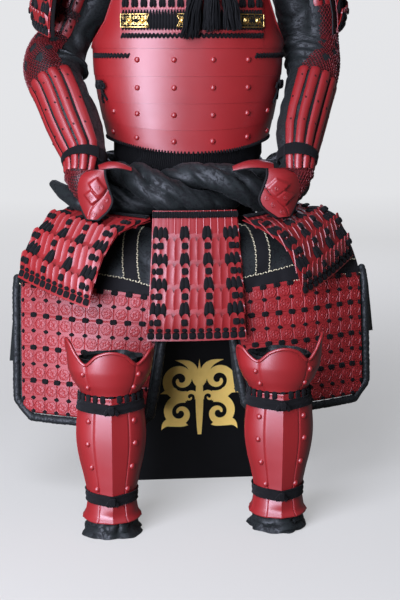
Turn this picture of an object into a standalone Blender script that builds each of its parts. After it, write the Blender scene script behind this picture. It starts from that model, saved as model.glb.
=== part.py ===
"""Samurai armour set out on its armour box.

Metres, +Z up. The origin is the centre of the box's base, and the armour faces -Y.
"right" and "left" are the wearer's, so the right side is at -X.
"""
import math
from collections import namedtuple

import bmesh
import bpy
from mathutils import Vector

# ---------------------------------------------------------------- driving sizes
GAP = 0.0003                # clearance between neighbouring pieces
SEAM = 0.0004               # half the gap where front and back of the cuirass meet
LAY = 0.0008                # clearance under a piece that lies on a curved one
PLATE = 0.0030              # iron plate with its lacquer
CLOTH = 0.0030              # brocade cloth with its lining
BRAID = 0.0045              # flat silk braid
SIDES = {"right": -1, "left": 1}

BOX_WIDTH = 0.420
BOX_DEPTH = 0.400
BOX_TOP = 0.500
BOX_WALL = 0.010
LID_DEPTH = 0.055

POST_SIZE = 0.040
SHOULDER_BAR_TOP = 1.270
SHOULDER_BAR_HALF = 0.165
THIGH_RAIL_OUT = 0.285      # how far in front of the box's centre the thigh rails reach
THIGH_RAIL_SPREAD = 0.165

DO_ROUNDNESS = 2.3          # superellipse exponent of the cuirass seen from above
DO_COLUMNS = 24
DO_DIP = 0.032              # how much lower the hem is in front than at the sides
DO_DIP_TOP = 0.950          # height where the dip has died out
HEM = 0.812

WAIST_COLUMNS = 32
WAISTBAND = (0.585, 0.650)   # heights of the thigh apron's waistband
WAISTBAND_INSET = 0.008
BELT_HEIGHT = 0.730
BELT_HALF_WIDTH = 0.2455
BELT_DEPTH = 0.2015
BELT_STRAND = 0.0345        # radius of one strand
BELT_TWIST_RADIUS = 0.0358
BELT_TURNS = -4
BELT_PHASE = -1.2
BELT_POINTS = 56

PANEL_STEP = 0.0030         # a lame stands proud of the one above it
PANEL_COLUMNS = 5

LEG_SPREAD = 0.188
LEG_SHIFT = -0.030
LEG_CENTRE_Y = -0.515
LEG_COLUMNS = 20
SHIN_REACH = math.radians(117)

Finish = namedtuple("Finish", "colour roughness metallic")
FINISHES = {
    "red_lacquer": Finish((0.30, 0.016, 0.020), 0.38, 0.0),
    "black_lacquer": Finish((0.012, 0.012, 0.014), 0.35, 0.0),
    "black_brocade": Finish((0.014, 0.015, 0.018), 0.75, 0.0),
    "black_braid": Finish((0.010, 0.010, 0.011), 0.70, 0.0),
    "gilt_metal": Finish((0.72, 0.48, 0.16), 0.30, 1.0),
    "plain_wood": Finish((0.30, 0.18, 0.09), 0.60, 0.0),
}

# ---------------------------------------------------------------- tables of shape
DoSection = namedtuple("DoSection", "height half_width front back")
DO_SECTIONS = (
    DoSection(0.812, 0.198, 0.150, 0.142),
    DoSection(0.868, 0.210, 0.156, 0.146),
    DoSection(0.932, 0.224, 0.161, 0.150),
    DoSection(0.997, 0.234, 0.165, 0.153),
    DoSection(1.063, 0.238, 0.167, 0.155),
    DoSection(1.120, 0.236, 0.166, 0.155),
    DoSection(1.180, 0.228, 0.160, 0.152),
    DoSection(1.270, 0.205, 0.146, 0.140),
)

# half width that a row of the cuirass keeps, inside the armholes
ArmholeRow = namedtuple("ArmholeRow", "height reach")
FRONT_ROWS = (
    ArmholeRow(0.812, None), ArmholeRow(0.868, None), ArmholeRow(0.932, None),
    ArmholeRow(0.997, None), ArmholeRow(1.063, None), ArmholeRow(1.085, 0.233),
    ArmholeRow(1.106, 0.219), ArmholeRow(1.135, 0.203), ArmholeRow(1.175, 0.191),
    ArmholeRow(1.225, 0.174),
)
BACK_ROWS = (
    ArmholeRow(0.812, None), ArmholeRow(0.868, None), ArmholeRow(0.932, None),
    ArmholeRow(0.997, None), ArmholeRow(1.063, None), ArmholeRow(1.085, 0.232),
    ArmholeRow(1.106, 0.218), ArmholeRow(1.140, 0.203), ArmholeRow(1.200, 0.188),
    ArmholeRow(1.260, 0.170),
)

WaistSection = namedtuple("WaistSection", "height half_width front back")
WAIST_SECTIONS = (
    WaistSection(0.655, 0.182, 0.137, 0.137),
    WaistSection(0.700, 0.173, 0.129, 0.129),
    WaistSection(0.760, 0.173, 0.129, 0.129),
    WaistSection(0.800, 0.188, 0.142, 0.134),
    WaistSection(0.838, 0.188, 0.142, 0.134),
)

# one station at each edge of a lame: reach from the waist, height of the inner
# edge, lift of the outer edge, half the width, and lean to the viewer's right
Drape = namedtuple("Drape", "reach height lift half_width lean")
FRONT_DRAPE = (
    Drape(0.122, 0.684, 0.0, 0.101, 0.0), Drape(0.152, 0.618, 0.0, 0.104, -0.001),
    Drape(0.186, 0.563, 0.0, 0.107, -0.003), Drape(0.216, 0.512, 0.0, 0.110, -0.005),
    Drape(0.236, 0.457, 0.0, 0.113, -0.007), Drape(0.250, 0.402, 0.0, 0.116, -0.009),
)
RIGHT_THIGH_DRAPE = (
    Drape(0.102, 0.662, 0.000, 0.101, 0.000), Drape(0.150, 0.656, 0.018, 0.104, -0.006),
    Drape(0.204, 0.645, 0.029, 0.107, -0.013), Drape(0.254, 0.601, 0.037, 0.110, -0.015),
    Drape(0.294, 0.543, 0.048, 0.113, -0.012), Drape(0.314, 0.486, 0.046, 0.116, -0.016),
)
LEFT_THIGH_DRAPE = (
    Drape(0.102, 0.662, 0.000, 0.101, -0.004), Drape(0.150, 0.652, 0.018, 0.104, -0.012),
    Drape(0.204, 0.634, 0.034, 0.107, -0.017), Drape(0.240, 0.606, 0.043, 0.110, -0.011),
    Drape(0.271, 0.558, 0.046, 0.113, -0.015), Drape(0.289, 0.504, 0.048, 0.116, -0.015),
)
HIP_DRAPE = (
    Drape(0.110, 0.655, 0.0, 0.090, 0.0), Drape(0.142, 0.606, 0.0, 0.094, 0.0),
    Drape(0.158, 0.550, 0.0, 0.098, 0.0), Drape(0.168, 0.492, 0.0, 0.101, 0.0),
    Drape(0.176, 0.435, 0.0, 0.104, 0.0), Drape(0.182, 0.378, 0.0, 0.107, 0.0),
)

Tasset = namedtuple("Tasset", "name anchor_x anchor_y facing drape lift_scale")
TASSETS = (
    Tasset("tasset_front", -0.006, -0.140, 0, FRONT_DRAPE, 0.0),
    Tasset("tasset_front_right", -0.116, -0.120, -45, RIGHT_THIGH_DRAPE, 1.0),
    Tasset("tasset_front_left", 0.104, -0.120, 49, LEFT_THIGH_DRAPE, 1.3),
    Tasset("tasset_side_right", -0.178, 0.045, -98, HIP_DRAPE, 0.0),
    Tasset("tasset_side_left", 0.178, 0.045, 98, HIP_DRAPE, 0.0),
    Tasset("tasset_back_right", -0.092, 0.128, -169, HIP_DRAPE, 0.0),
    Tasset("tasset_back_left", 0.092, 0.128, 169, HIP_DRAPE, 0.0),
)

# the thigh apron's left half: a row for each level, inner edge and outer edge
ApronRow = namedtuple("ApronRow", "inner_x inner_y inner_z outer_x outer_y outer_z crown")
APRON_ROWS = (
    ApronRow(0.012, -0.196, 0.625, 0.262, -0.085, 0.640, 0.004),
    ApronRow(0.030, -0.238, 0.622, 0.305, -0.080, 0.652, 0.010),
    ApronRow(0.050, -0.275, 0.598, 0.358, -0.085, 0.640, 0.022),
    ApronRow(0.068, -0.310, 0.558, 0.398, -0.145, 0.598, 0.032),
    ApronRow(0.082, -0.338, 0.506, 0.412, -0.222, 0.526, 0.026),
    ApronRow(0.088, -0.348, 0.450, 0.414, -0.240, 0.462, 0.022),
    ApronRow(0.098, -0.358, 0.380, 0.415, -0.254, 0.386, 0.020),
    ApronRow(0.112, -0.367, 0.300, 0.416, -0.266, 0.303, 0.018),
    ApronRow(0.125, -0.375, 0.235, 0.416, -0.275, 0.237, 0.016),
)
APRON_COLUMNS = 10
APRON_SHIFT = -0.010
APRON_DROP = {"right": 0.026, "left": 0.002}   # how much lower each half hangs
APRON_PLATE_TOP = 4         # row where the plates begin
APRON_CORNER = 0.020        # how far the outer lower corner is rounded in
APRON_PIPED_ROWS = 5        # rows up from the hem that the padded edge follows
APRON_HANGS = 0.45          # below this height the cloth hangs
APRON_LIES = 0.62           # above this height it lies flat over the thigh
PIPING = 0.0100             # radius of the padded edge

# each arm's path; bag is how much further the sleeve reaches on its inner side
ArmStation = namedtuple("ArmStation", "x y z radius bag")
ARM_STATIONS = {
    "right": (
        ArmStation(0.262, 0.022, 1.212, 0.052, 0.046), ArmStation(0.276, 0.026, 1.172, 0.050, 0.044),
        ArmStation(0.294, 0.030, 1.128, 0.050, 0.025), ArmStation(0.312, 0.030, 1.088, 0.050, 0.020),
        ArmStation(0.338, 0.018, 1.052, 0.056, 0.036), ArmStation(0.349, -0.004, 1.020, 0.057, 0.044),
        ArmStation(0.345, -0.030, 0.990, 0.055, 0.030), ArmStation(0.323, -0.064, 0.950, 0.054, 0.020),
        ArmStation(0.306, -0.100, 0.905, 0.053, 0.026), ArmStation(0.288, -0.136, 0.860, 0.050, 0.026),
        ArmStation(0.270, -0.166, 0.822, 0.047, 0.014), ArmStation(0.266, -0.188, 0.798, 0.043, 0.006),
        ArmStation(0.270, -0.206, 0.774, 0.038, 0.000), ArmStation(0.276, -0.220, 0.750, 0.034, 0.000),
    ),
    "left": (
        ArmStation(0.322, 0.022, 1.212, 0.050, 0.060), ArmStation(0.328, 0.026, 1.172, 0.050, 0.058),
        ArmStation(0.333, 0.030, 1.128, 0.050, 0.052), ArmStation(0.334, 0.030, 1.088, 0.051, 0.040),
        ArmStation(0.330, 0.018, 1.052, 0.056, 0.026), ArmStation(0.325, -0.004, 1.020, 0.058, 0.016),
        ArmStation(0.317, -0.030, 0.990, 0.056, 0.012), ArmStation(0.299, -0.064, 0.950, 0.055, 0.009),
        ArmStation(0.280, -0.100, 0.905, 0.055, 0.006), ArmStation(0.262, -0.136, 0.860, 0.054, 0.004),
        ArmStation(0.251, -0.176, 0.824, 0.047, 0.000), ArmStation(0.246, -0.198, 0.801, 0.042, 0.000),
        ArmStation(0.244, -0.210, 0.777, 0.038, 0.000), ArmStation(0.248, -0.220, 0.752, 0.034, 0.000),
    ),
}
ARM_COLUMNS = 20
UPPER_GUARD_END = {"right": 3, "left": 1}   # last station that the upper arm's plates cover
SPLINT_STATIONS = (6.35, 7, 8, 9, 10, 11, 12, 12.3)  # places that the forearm splints cover
SPLINT_COLUMNS = (-4, 6)        # first and last column, from behind to the inner front
STRAP_SPAN = (10.65, 11, 11.3)  # stations that the wrist strap covers
HAND_SHIFT = {"right": 0.0, "left": -0.050}   # the left hand is held closer in
HAND_SPREAD = {"right": 1.0, "left": 1.28}    # and is opened wider

HandRow = namedtuple("HandRow", "x y z half_width arch")
HAND_ROWS = (
    HandRow(0.238, -0.270, 0.787, 0.021, 0.004), HandRow(0.248, -0.277, 0.770, 0.032, 0.007),
    HandRow(0.248, -0.281, 0.742, 0.040, 0.010), HandRow(0.244, -0.283, 0.718, 0.042, 0.011),
    HandRow(0.241, -0.285, 0.695, 0.036, 0.009), HandRow(0.239, -0.287, 0.673, 0.017, 0.003),
)
HAND_ACROSS = Vector((-0.93, -0.36, 0.0)).normalized()
THUMB_ACROSS = Vector((0.05, 0.93, 0.34)).normalized()
THUMB_ROWS = (
    HandRow(0.232, -0.246, 0.791, 0.016, 0.003), HandRow(0.208, -0.250, 0.799, 0.018, 0.005),
    HandRow(0.182, -0.253, 0.798, 0.016, 0.005), HandRow(0.155, -0.254, 0.787, 0.010, 0.003),
)

# shoulder guard: a station at each edge of a lame, out from the centre and up
SODE_DRAPE = (
    Drape(0.240, 1.286, 0.030, 0.105, 0.0), Drape(0.302, 1.272, 0.036, 0.108, 0.0),
    Drape(0.349, 1.236, 0.040, 0.111, 0.0), Drape(0.371, 1.188, 0.042, 0.114, 0.0),
    Drape(0.379, 1.138, 0.044, 0.116, 0.0), Drape(0.382, 1.088, 0.046, 0.118, 0.0),
)
SODE_FACING = 82            # degrees from the front that a shoulder guard faces
SODE_SHIFT = {"right": (0.0, 0.0), "left": (0.010, 0.010)}  # how far out and up each one hangs

LegSection = namedtuple("LegSection", "height half_width front back")
SHIN_SECTIONS = (
    LegSection(0.036, 0.063, 0.064, 0.052), LegSection(0.052, 0.058, 0.058, 0.050),
    LegSection(0.085, 0.054, 0.052, 0.048), LegSection(0.125, 0.060, 0.054, 0.050),
    LegSection(0.180, 0.072, 0.058, 0.054), LegSection(0.225, 0.077, 0.060, 0.056),
    LegSection(0.275, 0.074, 0.059, 0.055), LegSection(0.322, 0.067, 0.056, 0.052),
)
KNEE_SECTIONS = (
    LegSection(0.326, 0.067, 0.057, 0.053), LegSection(0.350, 0.080, 0.064, 0.059),
    LegSection(0.380, 0.091, 0.070, 0.064), LegSection(0.455, 0.096, 0.074, 0.068),
)
LINER_SECTIONS = (
    LegSection(0.000, 0.064, 0.063, 0.054), LegSection(0.020, 0.060, 0.060, 0.053),
    LegSection(0.050, 0.050, 0.048, 0.044), LegSection(0.085, 0.046, 0.045, 0.042),
    LegSection(0.180, 0.064, 0.050, 0.048), LegSection(0.225, 0.069, 0.052, 0.050),
    LegSection(0.322, 0.059, 0.048, 0.046), LegSection(0.395, 0.070, 0.056, 0.052),
)
# height of the knee guard's scalloped upper edge, by degrees from the front
# (positive towards the outer side)
KneeEdge = namedtuple("KneeEdge", "turn height")
KNEE_EDGE = (
    KneeEdge(-110, 0.378), KneeEdge(-86, 0.418), KneeEdge(-66, 0.422), KneeEdge(-50, 0.406),
    KneeEdge(-36, 0.398), KneeEdge(-18, 0.420), KneeEdge(0, 0.428), KneeEdge(18, 0.420),
    KneeEdge(36, 0.398), KneeEdge(50, 0.414), KneeEdge(66, 0.440), KneeEdge(84, 0.446),
    KneeEdge(110, 0.402),
)
KNEE_REACH = math.radians(108)
UPPER_TIE = (0.288, 0.312)
LOWER_TIE = (0.076, 0.101)


# ---------------------------------------------------------------- general helpers
def clear_scene():
    """Remove every object, so that the model starts from nothing."""
    for item in list(bpy.data.objects):
        bpy.data.objects.remove(item, do_unlink=True)


def make_collection(name):
    collection = bpy.data.collections.new(name)
    bpy.context.scene.collection.children.link(collection)
    return collection


def finish_material(name, finish_name):
    """One Principled material for one piece, in the named finish."""
    finish = FINISHES[finish_name]
    material = bpy.data.materials.new(f"{name}_{finish_name}")
    material.use_nodes = True
    shader = material.node_tree.nodes["Principled BSDF"]
    shader.inputs["Base Color"].default_value = (*finish.colour, 1.0)
    shader.inputs["Roughness"].default_value = finish.roughness
    shader.inputs["Metallic"].default_value = finish.metallic
    return material


def add_piece(name, data, finish_name):
    """Link a mesh or curve as the named piece of the armour."""
    item = bpy.data.objects.new(name, data)
    data.materials.append(finish_material(name, finish_name))
    ARMOUR.objects.link(item)
    return item


def interpolate(table, height):
    """The row of a table of sections at a height, straight between its rows."""
    if height <= table[0].height:
        return table[0]
    for low, high in zip(table, table[1:]):
        if height <= high.height:
            share = (height - low.height) / (high.height - low.height)
            return type(low)(*(a + (b - a) * share for a, b in zip(low, high)))
    return table[-1]


def oval_point(section, turn, height, out=0.0, roundness=2.0):
    """A point on an oval section; turn is measured from the front, -Y, towards +X."""
    depth = section.front if math.cos(turn) > 0 else section.back
    power = 2.0 / roundness
    across = math.copysign(abs(math.sin(turn)) ** power, math.sin(turn))
    along = math.copysign(abs(math.cos(turn)) ** power, math.cos(turn))
    normal = Vector((
        math.copysign(abs(across) ** (roundness - 1), across) / section.half_width,
        -math.copysign(abs(along) ** (roundness - 1), along) / depth,
        0.0,
    )).normalized()
    return Vector((section.half_width * across, -depth * along, height)) + out * normal


def grid_mesh(name, rows, closed=False, facing=None):
    """A surface through rows of points, turned to face away from its own middle."""
    shape = bmesh.new()
    grid = [[shape.verts.new(point) for point in row] for row in rows]
    count = len(rows[0])
    last = count if closed else count - 1
    for low, high in zip(grid, grid[1:]):
        for column in range(last):
            after = (column + 1) % count
            shape.faces.new((low[column], low[after], high[after], high[column]))
    middle = sum((vert.co for vert in shape.verts), Vector()) / len(shape.verts)
    shape.normal_update()
    total = 0.0
    for face in shape.faces:
        away = facing if facing is not None else face.calc_center_median() - middle
        total += face.normal.dot(away)
    if total < 0:
        bmesh.ops.reverse_faces(shape, faces=shape.faces)
    mesh = bpy.data.meshes.new(name)
    shape.to_mesh(mesh)
    shape.free()
    return mesh


def wall(name, rows, thickness, finish_name, closed=False, facing=None, offset=-1.0):
    """A thin wall through rows of points; offset -1 keeps the points on its outer face."""
    piece = add_piece(name, grid_mesh(name, rows, closed, facing), finish_name)
    solid = piece.modifiers.new("Solidify", "SOLIDIFY")
    solid.thickness = thickness
    solid.offset = offset
    solid.use_even_offset = True
    solid.use_quality_normals = True
    return piece


def loft(name, loops, finish_name):
    """A closed solid through closed loops of points, with flat ends."""
    shape = bmesh.new()
    rings = [[shape.verts.new(point) for point in loop] for loop in loops]
    count = len(loops[0])
    for low, high in zip(rings, rings[1:]):
        for index in range(count):
            after = (index + 1) % count
            shape.faces.new((low[index], low[after], high[after], high[index]))
    shape.faces.new(list(reversed(rings[0])))
    shape.faces.new(rings[-1])
    bmesh.ops.recalc_face_normals(shape, faces=shape.faces)
    bmesh.ops.triangulate(shape, faces=[face for face in shape.faces if len(face.verts) > 4])
    mesh = bpy.data.meshes.new(name)
    shape.to_mesh(mesh)
    shape.free()
    return add_piece(name, mesh, finish_name)


def tube(name, points, radius, finish_name, closed=False, bevel_resolution=2):
    """A round tube along points."""
    curve = bpy.data.curves.new(name, "CURVE")
    curve.dimensions = "3D"
    curve.bevel_depth = radius
    curve.bevel_resolution = bevel_resolution
    curve.use_fill_caps = True
    spline = curve.splines.new("POLY")
    spline.points.add(len(points) - 1)
    for spot, point in zip(spline.points, points):
        spot.co = (*point, 1.0)
    spline.use_cyclic_u = closed
    return add_piece(name, curve, finish_name)


def block(name, low, high, finish_name, bevel=0.002):
    """A box between two corners, with softened edges."""
    low, high = Vector(low), Vector(high)
    shape = bmesh.new()
    bmesh.ops.create_cube(shape, size=1.0)
    bmesh.ops.scale(shape, vec=high - low, verts=shape.verts)
    bmesh.ops.translate(shape, vec=(low + high) / 2, verts=shape.verts)
    mesh = bpy.data.meshes.new(name)
    shape.to_mesh(mesh)
    shape.free()
    piece = add_piece(name, mesh, finish_name)
    edge = piece.modifiers.new("Bevel", "BEVEL")
    edge.width = bevel
    edge.segments = 1
    return piece


def open_box(name, low, high, thickness, finish_name, open_side):
    """A box without its top (open_side 1) or its base (open_side -1)."""
    low, high = Vector(low), Vector(high)
    shape = bmesh.new()
    bmesh.ops.create_cube(shape, size=1.0)
    away = [face for face in shape.faces if face.normal.z * open_side > 0.5]
    bmesh.ops.delete(shape, geom=away, context="FACES_ONLY")
    bmesh.ops.scale(shape, vec=high - low, verts=shape.verts)
    bmesh.ops.translate(shape, vec=(low + high) / 2, verts=shape.verts)
    mesh = bpy.data.meshes.new(name)
    shape.to_mesh(mesh)
    shape.free()
    piece = add_piece(name, mesh, finish_name)
    solid = piece.modifiers.new("Solidify", "SOLIDIFY")
    solid.thickness = thickness
    solid.offset = -1.0
    solid.use_even_offset = True
    return piece


# ---------------------------------------------------------------- box and stand
def build_box():
    """The armour box: an open chest and the lid that caps it."""
    half_width, half_depth = BOX_WIDTH / 2, BOX_DEPTH / 2
    body_top = BOX_TOP - BOX_WALL - GAP
    open_box("box_body", (-half_width, -half_depth, 0), (half_width, half_depth, body_top),
             BOX_WALL, "black_lacquer", open_side=1)
    rim = BOX_WALL + GAP
    open_box("box_lid", (-half_width - rim, -half_depth - rim, BOX_TOP - LID_DEPTH),
             (half_width + rim, half_depth + rim, BOX_TOP), BOX_WALL, "black_lacquer",
             open_side=-1)


def build_stand():
    """The plain wooden stand on the lid: post, shoulder bar and two thigh rails."""
    half = POST_SIZE / 2
    foot = BOX_TOP + GAP
    bar_base = SHOULDER_BAR_TOP - POST_SIZE
    block("stand_post", (-half, -half, foot), (half, half, bar_base - GAP), "plain_wood")
    block("shoulder_bar", (-SHOULDER_BAR_HALF, -half, bar_base),
          (SHOULDER_BAR_HALF, half, SHOULDER_BAR_TOP), "plain_wood", bevel=0.006)
    for side, sign in SIDES.items():
        centre = sign * THIGH_RAIL_SPREAD
        block(f"thigh_rail_{side}", (centre - half, -THIGH_RAIL_OUT, foot),
              (centre + half, BOX_DEPTH / 4, foot + POST_SIZE * 0.7), "plain_wood")


# ---------------------------------------------------------------- cuirass
def do_height(nominal, turn):
    """A row's height: the rows near the hem dip in the middle of front and back."""
    share = max(0.0, (DO_DIP_TOP - nominal) / (DO_DIP_TOP - HEM))
    return nominal + DO_DIP * min(1.0, share) * math.sin(turn) ** 2


def do_point(turn, nominal, out=0.0):
    """A point on the cuirass's outer face, or moved out from it."""
    height = do_height(nominal, turn)
    return oval_point(interpolate(DO_SECTIONS, height), turn, height, out, DO_ROUNDNESS)


def turn_at(nominal, distance):
    """The turn at which a row of the cuirass is this far from the middle."""
    section = interpolate(DO_SECTIONS, nominal)
    share = min(1.0, distance / section.half_width)
    return math.asin(share ** (DO_ROUNDNESS / 2))


def do_rows(table, middle):
    """Rows of points of the front (middle 0) or the back (middle pi)."""
    seam = math.pi / 2 - SEAM / DO_SECTIONS[0].front
    rows = []
    for row in table:
        reach = seam if row.reach is None else turn_at(row.height, row.reach)
        shares = [2 * column / DO_COLUMNS - 1 for column in range(DO_COLUMNS + 1)]
        rows.append([do_point(middle + share * reach, row.height) for share in shares])
    return rows


def build_do():
    """The riveted cuirass, in a front and a back, with its shoulder straps."""
    wall("do_front", do_rows(FRONT_ROWS, 0.0), PLATE, "red_lacquer")
    wall("do_back", do_rows(BACK_ROWS, math.pi), PLATE, "red_lacquer")
    strap_in, strap_out = 0.086, 0.146
    inside = -(PLATE + LAY + 0.006)
    for side, sign in SIDES.items():
        edges = [strap_in, (strap_in + strap_out) / 2, strap_out]
        rows = [[do_point(sign * turn_at(height, x), height, inside) for x in edges]
                for height in (1.165, 1.215)]
        for y, height in ((-0.078, 1.268), (-0.030, 1.289), (0.030, 1.293), (0.082, 1.282)):
            rows.append([Vector((sign * x, y, height)) for x in edges])
        rows += [[do_point(math.pi - sign * turn_at(height, x), height, inside) for x in edges]
                 for height in (1.240, 1.190)]
        wall(f"shoulder_strap_{side}", rows, 0.010, "black_brocade",
             facing=Vector((0, 0, 1)), offset=0.0)


def chest_patch(name, low, high, left, right, out, thickness, finish_name, columns):
    """A piece that lies on the chest between two heights and two distances."""
    rows = []
    for height in (low, (low + high) / 2, high):
        start = math.copysign(turn_at(height, abs(left)), left)
        end = math.copysign(turn_at(height, abs(right)), right)
        turns = [start + (end - start) * column / columns for column in range(columns + 1)]
        rows.append([do_point(turn, height, out + thickness) for turn in turns])
    return wall(name, rows, thickness, finish_name, facing=Vector((0, -1, 0)))


def build_chest():
    """The laced band across the chest, its two gilt mounts, the tassel and the ties."""
    chest_patch("chest_lacing", 1.084, 1.186, -0.168, 0.168, LAY, BRAID, "black_braid", 20)
    mount_out = LAY + BRAID + LAY
    chest_patch("chest_mount_right", 1.106, 1.150, -0.163, -0.104, mount_out, 0.0025,
                "gilt_metal", 6)
    chest_patch("chest_mount_left", 1.106, 1.150, 0.104, 0.163, mount_out, 0.0025,
                "gilt_metal", 6)
    tassel = ((1.232, 0.040, 0.012, -0.180, 0.008), (1.190, 0.042, 0.030, -0.184, 0.010),
              (1.150, 0.046, 0.052, -0.185, 0.010), (1.115, 0.048, 0.064, -0.185, 0.008),
              (1.092, 0.046, 0.060, -0.185, 0.004))
    loops = []
    for height, centre, half_width, y, half_depth in tassel:
        turns = [2 * math.pi * step / 12 for step in range(12)]
        loops.append([Vector((centre + half_width * math.cos(turn),
                              y + half_depth * math.sin(turn), height)) for turn in turns])
    loft("chest_tassel", loops, "black_braid")
    for side, sign in SIDES.items():
        knot = do_point(sign * math.radians(66), 0.965, 0.010)
        loops = []
        for drop, radius in ((0.014, 0.005), (0.006, 0.008), (-0.008, 0.008), (-0.028, 0.005)):
            turns = [2 * math.pi * step / 8 for step in range(8)]
            loops.append([knot + Vector((radius * math.cos(turn), radius * math.sin(turn), drop))
                          for turn in turns])
        loft(f"side_tie_{side}", loops, "black_braid")


# ---------------------------------------------------------------- waist
def build_waist():
    """The lacing that hangs the skirt, and the twisted brocade belt over it."""
    rows = []
    for section in WAIST_SECTIONS:
        turns = [2 * math.pi * column / WAIST_COLUMNS for column in range(WAIST_COLUMNS)]
        rows.append([oval_point(section, turn, section.height) for turn in turns])
    wall("suspension_lacing", rows, CLOTH, "black_braid", closed=True)
    rows = [[oval_point(WAIST_SECTIONS[0], turn, height, -WAISTBAND_INSET) for turn in turns]
            for height in WAISTBAND]
    wall("haidate_waistband", rows, CLOTH, "black_brocade", closed=True)

    for name, phase in (("belt_strand_upper", BELT_PHASE), ("belt_strand_lower", BELT_PHASE + math.pi)):
        points = []
        for step in range(BELT_POINTS):
            turn = 2 * math.pi * step / BELT_POINTS
            ring = WaistSection(BELT_HEIGHT, BELT_HALF_WIDTH, BELT_DEPTH, BELT_DEPTH)
            roll = BELT_TURNS * turn + phase
            centre = oval_point(ring, turn, BELT_HEIGHT, BELT_TWIST_RADIUS * math.cos(roll))
            points.append(centre + Vector((0, 0, BELT_TWIST_RADIUS * math.sin(roll))))
        tube(name, points, BELT_STRAND, "black_brocade", closed=True)
    tail = ((-0.278, -0.172, 0.700), (-0.296, -0.148, 0.708), (-0.314, -0.118, 0.718),
            (-0.330, -0.088, 0.728), (-0.338, -0.062, 0.733))
    tube("belt_tail", tail, 0.021, "black_brocade")


# ---------------------------------------------------------------- laced panels
def lame_panel(name, stations, origin, outward, across, bow, lift_scale=0.0, lift_side=1):
    """A panel of overlapping lames, each proud of the one above, as one solid."""
    loops = []
    for column in range(PANEL_COLUMNS):
        share = 2 * column / (PANEL_COLUMNS - 1) - 1
        back = []
        for row in stations:
            raised = row.lift * lift_scale * (1 + share * lift_side) / 2
            point = origin + outward * (row.reach - bow * share * share)
            point = point + across * (share * row.half_width + row.lean)
            back.append(point + Vector((0, 0, row.height + raised)))
        front = []
        for (upper, lower), (top, base) in zip(zip(stations, stations[1:]), zip(back, back[1:])):
            run = Vector((lower.reach - upper.reach, lower.height - upper.height))
            run.normalize()
            away = outward * -run.y + Vector((0, 0, run.x))
            front.append(top + away * (PLATE + PANEL_STEP))
            front.append(base + away * PLATE)
        loops.append(front + list(reversed(back)))
    return loft(name, loops, "red_lacquer")


def build_tassets():
    """The seven skirt panels of five lames each."""
    for panel in TASSETS:
        facing = math.radians(panel.facing)
        outward = Vector((math.sin(facing), -math.cos(facing), 0))
        across = Vector((math.cos(facing), math.sin(facing), 0))
        origin = Vector((panel.anchor_x, panel.anchor_y, 0))
        outer = 1 if panel.facing > 0 else -1
        lame_panel(panel.name, panel.drape, origin, outward, across, 0.008,
                   panel.lift_scale, outer)


def build_sode():
    """The shoulder guards, hung outside the upper arms."""
    facing = math.radians(SODE_FACING)
    for side, sign in SIDES.items():
        outward = Vector((sign * math.sin(facing), -math.cos(facing), 0))
        across = Vector((math.cos(facing), sign * math.sin(facing), 0))
        aside, above = SODE_SHIFT[side]
        origin = Vector((sign * aside, 0.020, above))
        lame_panel(f"sode_{side}", SODE_DRAPE, origin, outward, across, 0.022, 1.0, sign)


# ---------------------------------------------------------------- thigh apron
def apron_point(side, index, share, out=0.0, shorten=0.0):
    """A point of the apron; share runs from the inner edge, 0, to the outer, 1."""
    row = APRON_ROWS[index]
    inner = Vector((row.inner_x, row.inner_y, row.inner_z))
    outer = Vector((row.outer_x, row.outer_y, row.outer_z))
    level = Vector((outer.x - inner.x, outer.y - inner.y, 0)).normalized()
    front = Vector((level.y, -level.x, 0))
    tilt = max(0.0, min(1.0, (inner.z - APRON_HANGS) / (APRON_LIES - APRON_HANGS)))
    away = (front * (1 - tilt) + Vector((0, 0, 1)) * tilt).normalized()
    point = inner.lerp(outer, share) + away * (row.crown * math.sin(math.pi * share) + out)
    last = len(APRON_ROWS) - 1
    point.z -= APRON_DROP[side] * index / last
    if index == last:
        point.z += shorten
    return Vector((SIDES[side] * point.x + APRON_SHIFT, point.y, point.z))


def apron_rows(side, first, low_share, high_share, out, shorten=0.0):
    """Rows of the apron from the hem up to a row, between two shares."""
    rows = []
    shares = [low_share + (high_share - low_share) * column / APRON_COLUMNS
              for column in range(APRON_COLUMNS + 1)]
    for index in reversed(range(first, len(APRON_ROWS))):
        rows.append([apron_point(side, index, share, out, shorten) for share in shares])
    inward = (rows[0][-2] - rows[0][-1]).normalized()
    upward = (rows[1][-1] - rows[0][-1]).normalized()
    rows[0][-1] += (inward + upward) * APRON_CORNER * 0.5
    return rows


def edge_path(rows, distance):
    """A path just outside the inner edge, the hem and the outer edge of the apron."""
    path = []
    for row in reversed(rows[1:APRON_PIPED_ROWS]):
        path.append(row[0] + (row[0] - row[1]).normalized() * distance)
    hem, above = rows[0], rows[1]
    for column, (point, upper) in enumerate(zip(hem, above)):
        down = (point - upper).normalized()
        if column in (0, len(hem) - 1):
            neighbour = hem[1] if column == 0 else hem[-2]
            down = (down + (point - neighbour).normalized()).normalized()
        path.append(point + down * distance)
    for row in rows[1:APRON_PIPED_ROWS]:
        path.append(row[-1] + (row[-1] - row[-2]).normalized() * distance)
    return path


def build_apron():
    """The divided thigh apron: brocade cloth, its field of plates and its padded edge."""
    for side, sign in SIDES.items():
        cloth = apron_rows(side, 0, 0.0, 1.0, 0.0)
        facing = Vector((sign * 0.2, -1, 0.6))
        wall(f"haidate_cloth_{side}", cloth, CLOTH, "black_brocade", facing=facing)
        field = apron_rows(side, APRON_PLATE_TOP, 0.015, 0.985, LAY + PLATE, 0.006)
        wall(f"haidate_plates_{side}", field, PLATE, "red_lacquer", facing=facing)
        path = edge_path(cloth, PIPING + LAY)
        tube(f"haidate_piping_{side}", path, PIPING, "black_brocade")


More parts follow.
